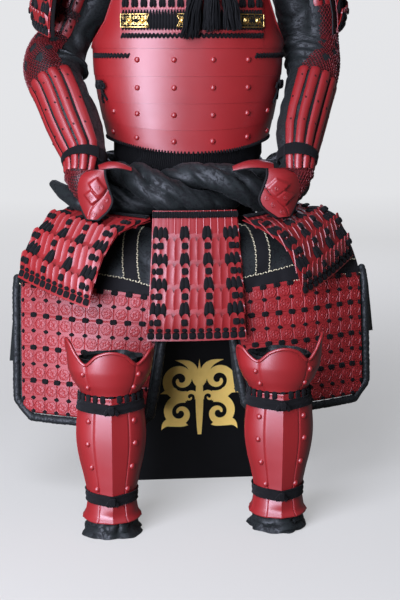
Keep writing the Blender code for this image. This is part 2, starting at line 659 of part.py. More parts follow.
# ---------------------------------------------------------------- arms
def arm_rings(stations):
    """Rings of points round an arm's path, from the shoulder to the wrist."""
    centres = [Vector((row.x, row.y, row.z)) for row in stations]
    rings = []
    for index, row in enumerate(stations):
        before = centres[max(index - 1, 0)]
        after = centres[min(index + 1, len(centres) - 1)]
        along = (after - before).normalized()
        outer = Vector((1.0, -0.55, 0.15))
        outer = (outer - along * outer.dot(along)).normalized()
        side = along.cross(outer)
        spokes = []
        for column in range(ARM_COLUMNS):
            turn = 2 * math.pi * column / ARM_COLUMNS
            reach = row.radius + row.bag * max(0.0, -math.cos(turn))
            spokes.append((outer * math.cos(turn) + side * math.sin(turn), reach))
        rings.append((centres[index], spokes))
    return rings


def arm_row(sign, along, out, columns=None):
    """A row of points round the arm at a station, or between two stations."""
    rings = ARM_RINGS["left" if sign > 0 else "right"]
    index = min(int(along), len(rings) - 2)
    share = along - index
    columns = range(ARM_COLUMNS) if columns is None else columns
    row = []
    for column in columns:
        ends = []
        for centre, spokes in rings[index:index + 2]:
            spoke, reach = spokes[column % ARM_COLUMNS]
            ends.append(centre + spoke * (reach + out))
        point = ends[0].lerp(ends[1], share)
        row.append(Vector((sign * point.x, point.y, point.z)))
    return row


def hand_rows(side, table, across, normal):
    """Rows of a small arched plate."""
    sign, shift, opened = SIDES[side], HAND_SHIFT[side], HAND_SPREAD[side]
    rows = []
    for row in table:
        points = []
        x = table[0].x + (row.x - table[0].x) * opened
        for share in (-1.0, -0.6, 0.0, 0.6, 1.0):
            point = Vector((x, row.y, row.z)) + across * (share * row.half_width * opened)
            point = point - normal * (row.arch * share * share)
            points.append(Vector((sign * point.x + shift, point.y, point.z)))
        rows.append(points)
    return rows


def build_arms():
    """The armoured sleeves: cloth, plates, splints, strap and hand guards."""
    for side, sign in SIDES.items():
        stations = range(len(ARM_STATIONS[side]))
        wall(f"sleeve_{side}", [arm_row(sign, station, 0.0) for station in stations],
             0.0025, "black_brocade", closed=True)
        rows = [arm_row(sign, station + 0.001, LAY + PLATE, range(-4, 6))
                for station in range(UPPER_GUARD_END[side] + 1)]
        wall(f"upper_arm_plates_{side}", rows, PLATE, "red_lacquer",
             facing=Vector((sign, -0.2, 0)))
        columns = range(SPLINT_COLUMNS[0], SPLINT_COLUMNS[1] + 1)
        rows = [arm_row(sign, station, LAY + PLATE, columns) for station in SPLINT_STATIONS]
        wall(f"forearm_splints_{side}", rows, PLATE, "red_lacquer",
             facing=Vector((sign, -0.6, 0)))
        strap_out = LAY + PLATE + LAY * 2 + BRAID
        rows = [arm_row(sign, along, strap_out) for along in STRAP_SPAN]
        wall(f"wrist_strap_{side}", rows, BRAID, "black_braid", closed=True)
        normal = Vector((0.36, -0.93, 0.2)).normalized()
        wall(f"hand_guard_{side}", hand_rows(side, HAND_ROWS, HAND_ACROSS, normal), PLATE,
             "red_lacquer", facing=Vector((sign * normal.x, normal.y, normal.z)))
        normal = Vector((0.0, -0.34, 0.93)).normalized()
        wall(f"thumb_guard_{side}", hand_rows(side, THUMB_ROWS, THUMB_ACROSS, normal), PLATE,
             "red_lacquer", facing=normal)


# ---------------------------------------------------------------- legs
def leg_row(sign, table, height, turns, out=0.0):
    """A row of points round a leg piece at one height; turns are towards the outer side."""
    centre = Vector((sign * LEG_SPREAD + LEG_SHIFT, LEG_CENTRE_Y, 0))
    section = interpolate(table, height)
    return [centre + oval_point(section, sign * turn, height, out) for turn in turns]


def knee_top(turn):
    """Height of the knee guard's upper edge at a turn."""
    degrees = math.degrees(turn)
    for low, high in zip(KNEE_EDGE, KNEE_EDGE[1:]):
        if degrees <= high.turn:
            share = max(0.0, (degrees - low.turn) / (high.turn - low.turn))
            return low.height + (high.height - low.height) * share
    return KNEE_EDGE[-1].height


def build_legs():
    """The shin guards with their knee guards, ties and cloth liners."""
    around = [2 * math.pi * column / LEG_COLUMNS for column in range(LEG_COLUMNS)]
    for side, sign in SIDES.items():
        turns = [SHIN_REACH * (2 * column / 16 - 1) for column in range(17)]
        rows = [leg_row(sign, SHIN_SECTIONS, row.height, turns) for row in SHIN_SECTIONS]
        wall(f"shin_guard_{side}", rows, PLATE, "red_lacquer", facing=Vector((0, -1, 0)))
        turns = [KNEE_REACH * (2 * column / 20 - 1) for column in range(21)]
        base = KNEE_SECTIONS[0].height
        rows = []
        for share in (0.0, 0.34, 0.67, 1.0):
            row = []
            for turn in turns:
                height = base + (knee_top(turn) - base) * share
                row += leg_row(sign, KNEE_SECTIONS, height, [turn])
            rows.append(row)
        wall(f"knee_guard_{side}", rows, PLATE, "red_lacquer", facing=Vector((0, -1, 0)))
        rows = [leg_row(sign, LINER_SECTIONS, row.height, around) for row in LINER_SECTIONS]
        wall(f"shin_liner_{side}", rows, CLOTH, "black_brocade", closed=True)
        for name, span in (("knee_tie", UPPER_TIE), ("ankle_tie", LOWER_TIE)):
            rows = [leg_row(sign, SHIN_SECTIONS, height, around, LAY * 2 + BRAID)
                    for height in span]
            wall(f"{name}_{side}", rows, BRAID, "black_braid", closed=True)


clear_scene()
ARMOUR = make_collection("samurai_armour")
ARM_RINGS = {side: arm_rings(stations) for side, stations in ARM_STATIONS.items()}
build_box()
build_stand()
build_do()
build_chest()
build_waist()
build_tassets()
build_apron()
build_arms()
build_sode()
build_legs()
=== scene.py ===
"""Samurai armour set out on its armour box: the finished look of every piece.

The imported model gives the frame. Each sub-assembly is a class that holds its sizes, builds
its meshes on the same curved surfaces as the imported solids, and dresses them in a finish.
Metres, +Z up; the armour faces -Y and the wearer's left is at +X.
"""
import logging
import math
from collections.abc import Callable, Iterable, Sequence
from dataclasses import dataclass
from enum import Enum
from math import copysign, cos, exp, pi, radians, sin, tau

import bmesh
import bpy
from bmesh.types import BMesh
from bpy.types import Material, Mesh, Node, NodeSocket, NodeTree, Object
from mathutils import Matrix, Vector, noise


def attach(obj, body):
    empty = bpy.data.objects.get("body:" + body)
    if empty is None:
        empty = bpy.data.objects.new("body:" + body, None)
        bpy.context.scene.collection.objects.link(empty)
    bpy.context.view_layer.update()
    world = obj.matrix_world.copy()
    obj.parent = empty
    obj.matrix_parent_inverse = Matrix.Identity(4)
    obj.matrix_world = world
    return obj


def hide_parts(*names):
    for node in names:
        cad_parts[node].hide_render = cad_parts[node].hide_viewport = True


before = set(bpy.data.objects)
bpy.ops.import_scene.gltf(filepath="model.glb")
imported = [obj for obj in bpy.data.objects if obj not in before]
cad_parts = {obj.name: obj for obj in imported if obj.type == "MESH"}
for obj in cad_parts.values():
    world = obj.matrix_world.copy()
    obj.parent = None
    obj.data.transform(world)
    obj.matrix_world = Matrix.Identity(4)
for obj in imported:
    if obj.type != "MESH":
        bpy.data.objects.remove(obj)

LOG = logging.getLogger("armour")
Surface = Callable[[float, float, float], Vector]
Rows = list[list[Vector]]
Relief = Callable[[float, float], float]

ROOT = "root"
LAY = 0.0008            # clearance under a piece that lies on another
PLATE = 0.0030          # iron plate with its lacquer
CLOTH = 0.0030          # brocade with its lining
PANEL_STEP = 0.0030     # how far a lame stands proud of the one above it
WAVE = 0.314            # scale of a wave texture for bands one metre apart
CORD_MAP = 0.02         # length of the UV map once round a cord, in metres
UNIT_SHARP, CORD_SHARP = 38.0, 60.0     # angles in degrees past which their edges stay sharp
SHARE, LOW, HIGH, MIXED = 0, 6, 7, 2    # sockets of a node that mixes two colours


class Side(Enum):
    """Which side of the wearer a piece belongs to; the value is the sign of X."""

    RIGHT = -1
    LEFT = 1

    @property
    def label(self) -> str:
        """The side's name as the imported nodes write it."""
        return self.name.lower()


# ------------------------------------------------------------------ reading shapes
def clamp(value: float, low: float = 0.0, high: float = 1.0) -> float:
    """Keep a number between two others."""
    return max(low, min(high, value))


def smooth(value: float) -> float:
    """Ease a share from 0 to 1 with no corner at either end."""
    value = clamp(value)
    return value * value * (3 - 2 * value)


def flow(table: Sequence[Sequence[float]], place: float) -> list[float]:
    """Read a table of stations on a smooth curve through its rows.

    Args:
        table: rows of numbers, one for each station.
        place: the station, which may lie between two rows.

    Returns:
        The numbers at that place.
    """
    last = len(table) - 1
    place = clamp(place, 0.0, last)
    index = min(int(place), last - 1)
    share = place - index
    rows = [table[int(clamp(index + step, 0, last))] for step in (-1, 0, 1, 2)]
    found = []
    for before, here, after, beyond in zip(*rows):
        slope_in, slope_out = (after - before) / 2, (beyond - here) / 2
        bend = 3 * (after - here) - 2 * slope_in - slope_out
        twist = 2 * (here - after) + slope_in + slope_out
        found.append(here + share * (slope_in + share * (bend + share * twist)))
    return found


def place_at(table: Sequence[Sequence[float]], height: float) -> float:
    """The place in a table, ordered by its first column, that stands at a height.

    Args:
        table: rows of numbers, the first of which is a height.
        height: the height.

    Returns:
        The place, a row number with a share.
    """
    for index, (low, high) in enumerate(zip(table, table[1:])):
        if height <= high[0]:
            return max(0.0, index + (height - low[0]) / (high[0] - low[0]))
    return float(len(table) - 1)


def read_at(table: Sequence[Sequence[float]], height: float) -> list[float]:
    """The numbers of a table, ordered by its first column, at a height."""
    return flow(table, place_at(table, height))


def spread(low: float, high: float, count: int) -> list[float]:
    """Evenly spaced numbers from low to high, with count steps between them."""
    return [low + (high - low) * step / count for step in range(count + 1)]


def around(count: int) -> list[float]:
    """The angles of points spaced evenly round a circle, from 0."""
    return [tau * step / count for step in range(count)]


def degrees_round(angle: float) -> float:
    """An angle in degrees, from -180 to 180."""
    return math.degrees(math.remainder(angle, tau))


def bell(distance: float, width: float) -> float:
    """A rise of 1 that dies away with distance."""
    return exp(-((distance / width) ** 2))


def distances(points: Sequence[Vector]) -> list[float]:
    """How far along a chain of points each of them lies.

    Args:
        points: the points, in order.

    Returns:
        A distance for each point, from 0 to the chain's length.
    """
    found = [0.0]
    for here, after in zip(points, points[1:]):
        found.append(found[-1] + (after - here).length)
    return found


def oval(section: Sequence[float], turn: float, out: float, power: float = 2.0) -> Vector:
    """A point on an oval ring.

    Args:
        section: height, half width, depth in front, depth behind.
        turn: angle from the front, -Y, towards +X.
        out: distance outside the ring.
        power: exponent of the oval; 2 is an ellipse, more is squarer.

    Returns:
        The point.
    """
    height, half_width, front, back = section
    depth = front if cos(turn) > 0 else back
    across = copysign(abs(sin(turn)) ** (2 / power), sin(turn))
    along = copysign(abs(cos(turn)) ** (2 / power), cos(turn))
    normal = Vector((copysign(abs(across) ** (power - 1), across) / half_width,
                     -copysign(abs(along) ** (power - 1), along) / depth, 0.0))
    return Vector((half_width * across, -depth * along, height)) + normal.normalized() * out


def oval_at(table: Sequence[Sequence[float]], turn: float, height: float, out: float,
            power: float = 2.0) -> Vector:
    """A point at a height on the ovals that a table of sections gives.

    Args:
        table: the sections, each as for oval, ordered by height.
        turn: angle from the front, -Y, towards +X.
        height: the height.
        out: distance outside the ring.
        power: exponent of the ovals.

    Returns:
        The point.
    """
    section = read_at(table, height)
    section[0] = height
    return oval(section, turn, out, power)


def crumple(place: Vector, size: float, depth: float, width: float = 0.16) -> float:
    """Soft creases of cloth: troughs that follow the zero lines of a smooth noise.

    Args:
        place: where on the cloth, in metres, stretched where the creases run long.
        size: distance between creases.
        depth: depth of the deepest crease.
        width: share of the distance that a crease takes.

    Returns:
        Height of the cloth there, about its mean.
    """
    swell = noise.noise(place / size)
    trough = bell(swell, width)
    billow = noise.noise(place / (size * 0.45) + Vector((7.1, 3.3, 5.7)))
    return depth * (0.55 * swell - 0.8 * trough + 0.22 * billow + 0.25)


# ------------------------------------------------------------------ making meshes
@dataclass(frozen=True)
class Spot:
    """Where a repeated unit sits: its centre, its turn and its size."""

    centre: Vector
    turn: tuple[float, float, float]
    size: tuple[float, float, float] = (1.0, 1.0, 1.0)


def spot_from(centre: Vector, right: Vector, up: Vector, roll: float = 0.0,
              size: tuple[float, float, float] = (1.0, 1.0, 1.0)) -> Spot:
    """A spot whose X runs right, whose Y runs up and whose Z stands out.

    Args:
        centre: where the unit's origin goes.
        right: direction of the unit's X.
        up: rough direction of its Y.
        roll: turn about its Z.
        size: scale on each of its axes.

    Returns:
        The spot.
    """
    right = right.normalized()
    out = right.cross(up).normalized()
    matrix = Matrix((right, out.cross(right), out)).transposed()
    matrix = matrix @ Matrix.Rotation(roll, 3, "Z")
    return Spot(centre, tuple(matrix.to_euler()), size)


def spot_on(surface: Surface, across: float, up: float, out: float = 0.0, roll: float = 0.0,
            size: tuple[float, float, float] = (1.0, 1.0, 1.0), step: float = 0.01) -> Spot:
    """A spot that lies on a surface and faces out of it.

    Args:
        surface: the surface.
        across: place across it.
        up: place up it.
        out: distance outside it.
        roll: turn about its outward axis.
        size: scale on each axis of the unit.
        step: how far apart the points lie that give the surface's slope.

    Returns:
        The spot.
    """
    right = surface(across + step, up, out) - surface(across - step, up, out)
    upward = surface(across, up + step, out) - surface(across, up - step, out)
    return spot_from(surface(across, up, out), right, upward, roll, size)


def new_object(name: str, mesh: Mesh) -> Object:
    """Link a mesh to the scene as an object at the origin.

    Args:
        name: name of the object.
        mesh: its mesh.

    Returns:
        The object.
    """
    item = bpy.data.objects.new(name, mesh)
    bpy.context.scene.collection.objects.link(item)
    return item


def mesh_from(name: str, shape: BMesh) -> Mesh:
    """Write a bmesh to a new mesh and free it.

    Args:
        name: name of the mesh.
        shape: the bmesh.

    Returns:
        The mesh.
    """
    mesh = bpy.data.meshes.new(name)
    shape.to_mesh(mesh)
    shape.free()
    return mesh


def settle(item: Object, finish: Material, sharp: float = 38.0) -> Object:
    """Turn an object's modifiers into plain mesh, shaded smooth between its sharp edges.

    Args:
        item: the object, which keeps its name.
        finish: the material it is given.
        sharp: angle in degrees past which an edge stays sharp.

    Returns:
        The same object.
    """
    bpy.context.view_layer.update()
    graph = bpy.context.evaluated_depsgraph_get()
    mesh = bpy.data.meshes.new_from_object(item.evaluated_get(graph))
    item.modifiers.clear()
    item.data = mesh
    mesh.materials.clear()
    mesh.materials.append(finish)
    mesh.polygons.foreach_set("use_smooth", [True] * len(mesh.polygons))
    mesh.set_sharp_from_angle(angle=radians(sharp))
    return item


def grid_mesh(name: str, rows: Rows, closed: bool = False) -> Mesh:
    """A surface through rows of points, with a UV map in metres.

    Args:
        name: name of the mesh.
        rows: rows of points from low to high, each running to the viewer's right.
        closed: whether each row comes back to its start.

    Returns:
        The mesh, facing the viewer.
    """
    shape = bmesh.new()
    layer = shape.loops.layers.uv.new("UVMap")
    middle_row = rows[len(rows) // 2]
    middle = len(middle_row) // 2
    along = distances([row[middle] for row in rows])
    across = distances(middle_row + middle_row[:1] if closed else middle_row)
    grid = [[shape.verts.new(point) for point in row] for row in rows]
    count = len(middle_row)
    for level in range(len(rows) - 1):
        for column in range(count if closed else count - 1):
            after = (column + 1) % count
            face = shape.faces.new((grid[level][column], grid[level][after],
                                    grid[level + 1][after], grid[level + 1][column]))
            corners = ((column, level), (column + 1, level), (column + 1, level + 1),
                       (column, level + 1))
            for loop, (step, rise) in zip(face.loops, corners):
                loop[layer].uv = (across[step], along[rise])
    return mesh_from(name, shape)


def lay_rows(surface: Surface, across: Sequence[float], up: Sequence[float],
             relief: Relief | None = None, out: float = 0.0) -> Rows:
    """Rows of points on a surface.

    Args:
        surface: the surface.
        across: values across it, to the viewer's right.
        up: values up it.
        relief: height above the surface at a place, or None.
        out: height that is added everywhere.

    Returns:
        The rows, from low to high.
    """
    rows = []
    for level in up:
        rows.append([surface(place, level, out + (relief(place, level) if relief else 0.0))
                     for place in across])
    return rows


def shell(name: str, rows: Rows, thickness: float, finish: Material,
          closed: bool = False, sharp: float = 38.0) -> Object:
    """A thin wall whose outer face runs through rows of points.

    Args:
        name: name of the object.
        rows: rows of points, as for grid_mesh.
        thickness: thickness of the wall, which lies behind the rows.
        finish: its material.
        closed: whether each row comes back to its start.
        sharp: angle in degrees past which an edge stays sharp.

    Returns:
        The wall.
    """
    item = new_object(name, grid_mesh(name, rows, closed))
    wall = item.modifiers.new("Wall", "SOLIDIFY")
    wall.thickness = thickness
    wall.offset = -1.0
    wall.use_quality_normals = True
    return settle(item, finish, sharp)


def tube_rows(path: Sequence[Vector], radius: Callable[[int, float], float],
              sides: int) -> Rows:
    """Rings of points round an open path, which do not twist along it.

    Args:
        path: points along the middle.
        radius: radius at a point's number and an angle round it.
        sides: points in each ring.

    Returns:
        One ring of points for each point of the path.
    """
    rings = []
    side = Vector((0, 0, 1))
    for index, point in enumerate(path):
        before = path[index - 1] if index else point
        after = path[index + 1] if index < len(path) - 1 else point
        ahead = (after - before).normalized()
        side = (side - ahead * side.dot(ahead)).normalized()
        other = side.cross(ahead)
        ring = []
        for turn in around(sides):
            ring.append(point + (side * cos(turn) + other * sin(turn))
                        * radius(index, turn))
        rings.append(ring)
    return rings


def capped(rings: Rows) -> Rows:
    """Rings of points drawn in to a rounded end at both ends.

    Args:
        rings: the rings.

    Returns:
        The rings with three more at each end.
    """
    ends = []
    for ring, inner in ((rings[0], rings[1]), (rings[-1], rings[-2])):
        middle = sum(ring, Vector()) / len(ring)
        push = middle - sum(inner, Vector()) / len(inner)
        width = (ring[0] - middle).length
        push = push.normalized() * width
        cap = []
        for share, bulge in ((0.86, 0.45), (0.5, 0.8), (0.02, 0.95)):
            cap.append([middle + (point - middle) * share + push * bulge for point in ring])
        ends.append(cap)
    return list(reversed(ends[0])) + rings + ends[1]


def revolve(name: str, profile: Sequence[tuple[float, float]], sides: int) -> Mesh:
    """A turned shape about Z, from (radius, height) pairs that run from the rim inwards.

    Args:
        name: name of the mesh.
        profile: the pairs.
        sides: points round it.

    Returns:
        The mesh.
    """
    rows = [[Vector((radius * cos(turn), radius * sin(turn), height))
             for turn in around(sides)] for radius, height in profile]
    return grid_mesh(name, rows, closed=True)


def pillow(name: str, width: float, length: float, height: float, power: float = 3.0,
           taper: float = 0.0, sides: int = 12, groove: float = 0.0) -> Object:
    """A small cushioned unit of lacing, lying on Z = 0 with its length along Y.

    Args:
        name: name of the unit.
        width: size along X.
        length: size along Y.
        height: how far it stands out.
        power: exponent of its outline; 2 is an oval, more is squarer.
        taper: how much narrower its upper end is.
        sides: points round its outline.
        groove: depth of a groove down its middle.

    Returns:
        The unit, which is not part of the scene.
    """
    rows = []
    for share, lift in ((1.0, -0.10), (0.98, 0.42), (0.66, 0.88), (0.02, 1.0)):
        ring = []
        for step in range(sides):
            turn = tau * (step + 0.5) / sides
            across = copysign(abs(cos(turn)) ** (2 / power), cos(turn))
            along = copysign(abs(sin(turn)) ** (2 / power), sin(turn))
            narrow = 1 - taper * (along * share + 1) / 2
            sink = groove * bell(across * share, 0.3)
            ring.append(Vector((across * share * width / 2 * narrow, along * share * length / 2,
                                lift * height - sink)))
        rows.append(ring)
    unit = bpy.data.objects.new(name, grid_mesh(name, rows, closed=True))
    layer = unit.data.uv_layers[0].data
    for polygon in unit.data.polygons:
        for corner in polygon.loop_indices:
            point = unit.data.vertices[unit.data.loops[corner].vertex_index].co
            layer[corner].uv = (point.x, point.y)
    return unit


def flower_unit(radius: float, sides: int = 30) -> Object:
    """The embossed flower: a raised hexagon round six petals; it is not part of the scene.

    Args:
        radius: half the hexagon's width.
        sides: points round it.

    Returns:
        The unit.
    """
    rows = []
    for share, height in ((1.00, -0.0002), (0.96, 0.0011), (0.87, 0.0014), (0.80, 0.0002),
                          (0.68, 0.0002), (0.58, 0.0012), (0.46, 0.0012), (0.26, 0.0002),
                          (0.17, 0.0013), (0.01, 0.0014)):
        ring = []
        for turn in around(sides):
            hexagon = cos(pi / 6) / cos(
                (turn + pi / 6) % (pi / 3) - pi / 6)
            petal = 0.80 + 0.20 * abs(cos(3 * turn))
            mix = smooth((share - 0.66) / 0.14)
            reach = radius * share * (hexagon * mix + petal * (1 - mix))
            notch = 0.0010 * abs(sin(3 * turn)) ** 6 if 0.3 < share < 0.66 else 0.0
            ring.append(Vector((reach * cos(turn), reach * sin(turn),
                                height - notch)))
        rows.append(ring)
    return bpy.data.objects.new("flower", grid_mesh("flower", rows, closed=True))


def joined(name: str, items: Iterable[Object]) -> Object:
    """Join finished objects into one new object and remove them.

    Args:
        name: name of the new object.
        items: objects with plain meshes at the origin.

    Returns:
        The new object, with each part's material kept.
    """
    shape = bmesh.new()
    finishes = []
    for item in list(items):
        start = len(shape.faces)
        shape.from_mesh(item.data)
        shape.faces.ensure_lookup_table()
        finish = item.data.materials[0]
        if finish not in finishes:
            finishes.append(finish)
        for index in range(start, len(shape.faces)):
            shape.faces[index].material_index = finishes.index(finish)
        bpy.data.objects.remove(item)
    whole = new_object(name, mesh_from(name, shape))
    for finish in finishes:
        whole.data.materials.append(finish)
    return whole


# ------------------------------------------------------------------ node trees
def connect(tree: NodeTree, node: Node, inputs: dict) -> None:
    """Give a node's inputs their values or their links.

    Args:
        tree: the tree that it is in.
        node: the node.
        inputs: a value, a socket or a node for each input, by name or number; a node
            stands for its first output.
    """
    for key, value in inputs.items():
        if isinstance(value, Node):
            value = value.outputs[0]
        if isinstance(value, NodeSocket):
            tree.links.new(value, node.inputs[key])
        else:
            node.inputs[key].default_value = value


def add_node(tree: NodeTree, kind: str, inputs: dict | None = None, **settings) -> Node:
    """Add a node with its settings, its values and its links.

    Args:
        tree: the tree that it goes in.
        kind: Blender's name for the node.
        inputs: what each input is given, as for connect.
        **settings: the node's own properties.

    Returns:
        The node.
    """
    found = tree.nodes.new(kind)
    for name, value in settings.items():
        setattr(found, name, value)
    connect(tree, found, inputs or {})
    return found


class PieceTree:
    """A Geometry Nodes tree that turns a mesh of points or edges into a finished piece."""

    def __init__(self, name: str, inputs: dict[str, str]) -> None:
        """Start the tree and remember the identifiers of its inputs.

        Args:
            name: name of the tree.
            inputs: the kind of each input besides the mesh and the finish.
        """
        self.tree = bpy.data.node_groups.new(name, "GeometryNodeTree")
        self.names = {}
        face = self.tree.interface
        for label, kind in {"Mesh": "Geometry", **inputs, "Finish": "Material"}.items():
            socket = face.new_socket(label, in_out="INPUT", socket_type=f"NodeSocket{kind}")
            self.names[label] = socket.identifier
        face.new_socket("Geometry", in_out="OUTPUT", socket_type="NodeSocketGeometry")
        self.given = self.tree.nodes.new("NodeGroupInput").outputs

    def close(self, shape: Node) -> None:
        """End the tree with plain mesh in the piece's own material."""
        real = add_node(self.tree, "GeometryNodeRealizeInstances", {0: shape})
        dressed = add_node(self.tree, "GeometryNodeSetMaterial",
                           {"Geometry": real, "Material": self.given["Finish"]})
        add_node(self.tree, "NodeGroupOutput", {0: dressed})

    def make(self, name: str, mesh: Mesh, sharp: float, values: dict) -> Object:
        """Run the tree on a mesh and keep the result as plain mesh.

        Args:
            name: name of the new object.
            mesh: its points or edges.
            sharp: angle in degrees past which an edge stays sharp.
            values: what each of the tree's inputs is given.

        Returns:
            The finished object.
        """
        item = new_object(name, mesh)
        tool = item.modifiers.new("Nodes", "NODES")
        tool.node_group = self.tree
        for label, value in values.items():
            tool[self.names[label]] = value
        return settle(item, values["Finish"], sharp)


class Strewer(PieceTree):
    """Geometry Nodes tree that sets one unit at each point of a cloud."""

    def __init__(self) -> None:
        """Build the tree."""
        super().__init__("strew_units", {"Unit": "Object", "Wobble": "Float", "Seed": "Int"})
        tree, given = self.tree, self.given
        unit = add_node(tree, "GeometryNodeObjectInfo", {"Object": given["Unit"]},
                        transform_space="ORIGINAL")
        turn = add_node(tree, "GeometryNodeInputNamedAttribute", {"Name": "turn"},
                        data_type="FLOAT_VECTOR")
        size = add_node(tree, "GeometryNodeInputNamedAttribute", {"Name": "size"},
                        data_type="FLOAT_VECTOR")
        chance = add_node(tree, "FunctionNodeRandomValue",
                          {"Seed": given["Seed"], 2: -1.0, 3: 1.0}, data_type="FLOAT")
        swing = add_node(tree, "ShaderNodeMath", {0: chance.outputs[1], 1: given["Wobble"]},
                         operation="MULTIPLY")
        aside = add_node(tree, "ShaderNodeCombineXYZ", {"Z": swing})
        base = add_node(tree, "FunctionNodeEulerToRotation", {0: turn})
        sway = add_node(tree, "FunctionNodeEulerToRotation", {0: aside})
        facing = add_node(tree, "FunctionNodeRotateRotation", {0: base, 1: sway},
                          rotation_space="LOCAL")
        self.close(add_node(tree, "GeometryNodeInstanceOnPoints", {
            "Points": given["Mesh"], "Instance": unit.outputs["Geometry"],
            "Rotation": facing, "Scale": size}))

    def strew(self, name: str, unit: Object, spots: Sequence[Spot], finish: Material,
              wobble: float = 0.0, seed: int = 1) -> Object:
        """Set a unit at every spot and turn the result into plain mesh.

        Args:
            name: name of the new object.
            unit: the unit, drawn at the origin.
            spots: where the units go.
            finish: their material.
            wobble: most that a unit is turned about its own Z, in radians.
            seed: fixes the random turns.

        Returns:
            One object with all the units.
        """
        mesh = bpy.data.meshes.new(name)
        mesh.from_pydata([spot.centre for spot in spots], [], [])
        for label in ("turn", "size"):
            values = [number for spot in spots for number in getattr(spot, label)]
            mesh.attributes.new(label, "FLOAT_VECTOR", "POINT").data.foreach_set(
                "vector", values)
        return self.make(name, mesh, UNIT_SHARP, {"Unit": unit, "Finish": finish,
                                                  "Wobble": wobble, "Seed": seed})


class Corder(PieceTree):
    """Geometry Nodes tree that runs round cord along chains of edges."""

    def __init__(self) -> None:
        """Build the tree."""
        super().__init__("run_cord", {"Sides": "Int"})
        tree, given = self.tree, self.given
        curve = add_node(tree, "GeometryNodeMeshToCurve", {0: given["Mesh"]})
        thick = add_node(tree, "GeometryNodeInputNamedAttribute", {"Name": "thick"},
                         data_type="FLOAT")
        curve = add_node(tree, "GeometryNodeSetCurveRadius", {"Curve": curve, "Radius": thick})
        run = add_node(tree, "GeometryNodeSplineParameter")
        known = add_node(tree, "GeometryNodeCaptureAttribute", {0: curve})
        known.capture_items.new("FLOAT", "Run")
        connect(tree, known, {"Run": run.outputs["Length"]})
        ring = add_node(tree, "GeometryNodeCurvePrimitiveCircle",
                        {"Resolution": given["Sides"], "Radius": 1.0})
        lap = add_node(tree, "GeometryNodeCaptureAttribute", {0: ring})
        lap.capture_items.new("FLOAT", "Lap")
        connect(tree, lap, {"Lap": run.outputs["Factor"]})
        body = add_node(tree, "GeometryNodeCurveToMesh", {
            "Curve": known, "Profile Curve": lap, "Fill Caps": True})
        if "Scale" in body.inputs:
            connect(tree, body, {"Scale": thick})
        girth = add_node(tree, "ShaderNodeMath", {0: lap.outputs["Lap"], 1: CORD_MAP},
                         operation="MULTIPLY")
        place = add_node(tree, "ShaderNodeCombineXYZ",
                         {"X": girth, "Y": known.outputs["Run"]})
        self.close(add_node(tree, "GeometryNodeStoreNamedAttribute", {
            "Geometry": body, "Name": "UVMap", "Value": place}, data_type="FLOAT2",
            domain="CORNER"))

    def run(self, name: str, paths: Sequence[Sequence[Vector]],
            radius: float | Callable[[float], float], finish: Material, sides: int = 8,
            closed: bool = False) -> Object:
        """Run cord along paths and turn the result into plain mesh.

        Args:
            name: name of the new object.
            paths: the points of each path.
            radius: the cord's radius, or its radius at a share of the way along.
            finish: its material.
            sides: faces round it.
            closed: whether each path comes back to its start.

        Returns:
            One object with all the cords.
        """
        points, edges, thick = [], [], []
        for path in paths:
            start, last = len(points), len(path) - 1
            points += path
            edges += [(start + step, start + step + 1) for step in range(last)]
            if closed:
                edges.append((start + last, start))
            thick += [radius(step / last) if callable(radius) else radius
                      for step in range(len(path))]
        mesh = bpy.data.meshes.new(name)
        mesh.from_pydata(points, edges, [])
        mesh.attributes.new("thick", "FLOAT", "POINT").data.foreach_set("value", thick)
        return self.make(name, mesh, CORD_SHARP, {"Sides": sides, "Finish": finish})


# ------------------------------------------------------------------ finishes
def colour(hexed: str) -> tuple[float, float, float, float]:
    """Turn an sRGB hex colour to the linear values that a shader takes.

    Args:
        hexed: the colour, such as "#92191b".

    Returns:
        Red, green, blue and 1.
    """
    parts = [int(hexed[start:start + 2], 16) / 255 for start in (1, 3, 5)]
    linear = [part / 12.92 if part <= 0.04045 else ((part + 0.055) / 1.055) ** 2.4
              for part in parts]
    return (*linear, 1.0)


def start_material(name: str, own_map: bool) -> tuple[Material, NodeTree, Node, NodeSocket]:
    """Start a material.

    Args:
        name: its name.
        own_map: whether it follows the piece's own UV map or its object coordinates.

    Returns:
        The material, its tree, its shader and the place on the piece, in metres.
    """
    material = bpy.data.materials.new(name)
    material.use_nodes = True
    tree = material.node_tree
    place = add_node(tree, "ShaderNodeTexCoord").outputs["UV" if own_map else "Object"]
    return material, tree, tree.nodes["Principled BSDF"], place


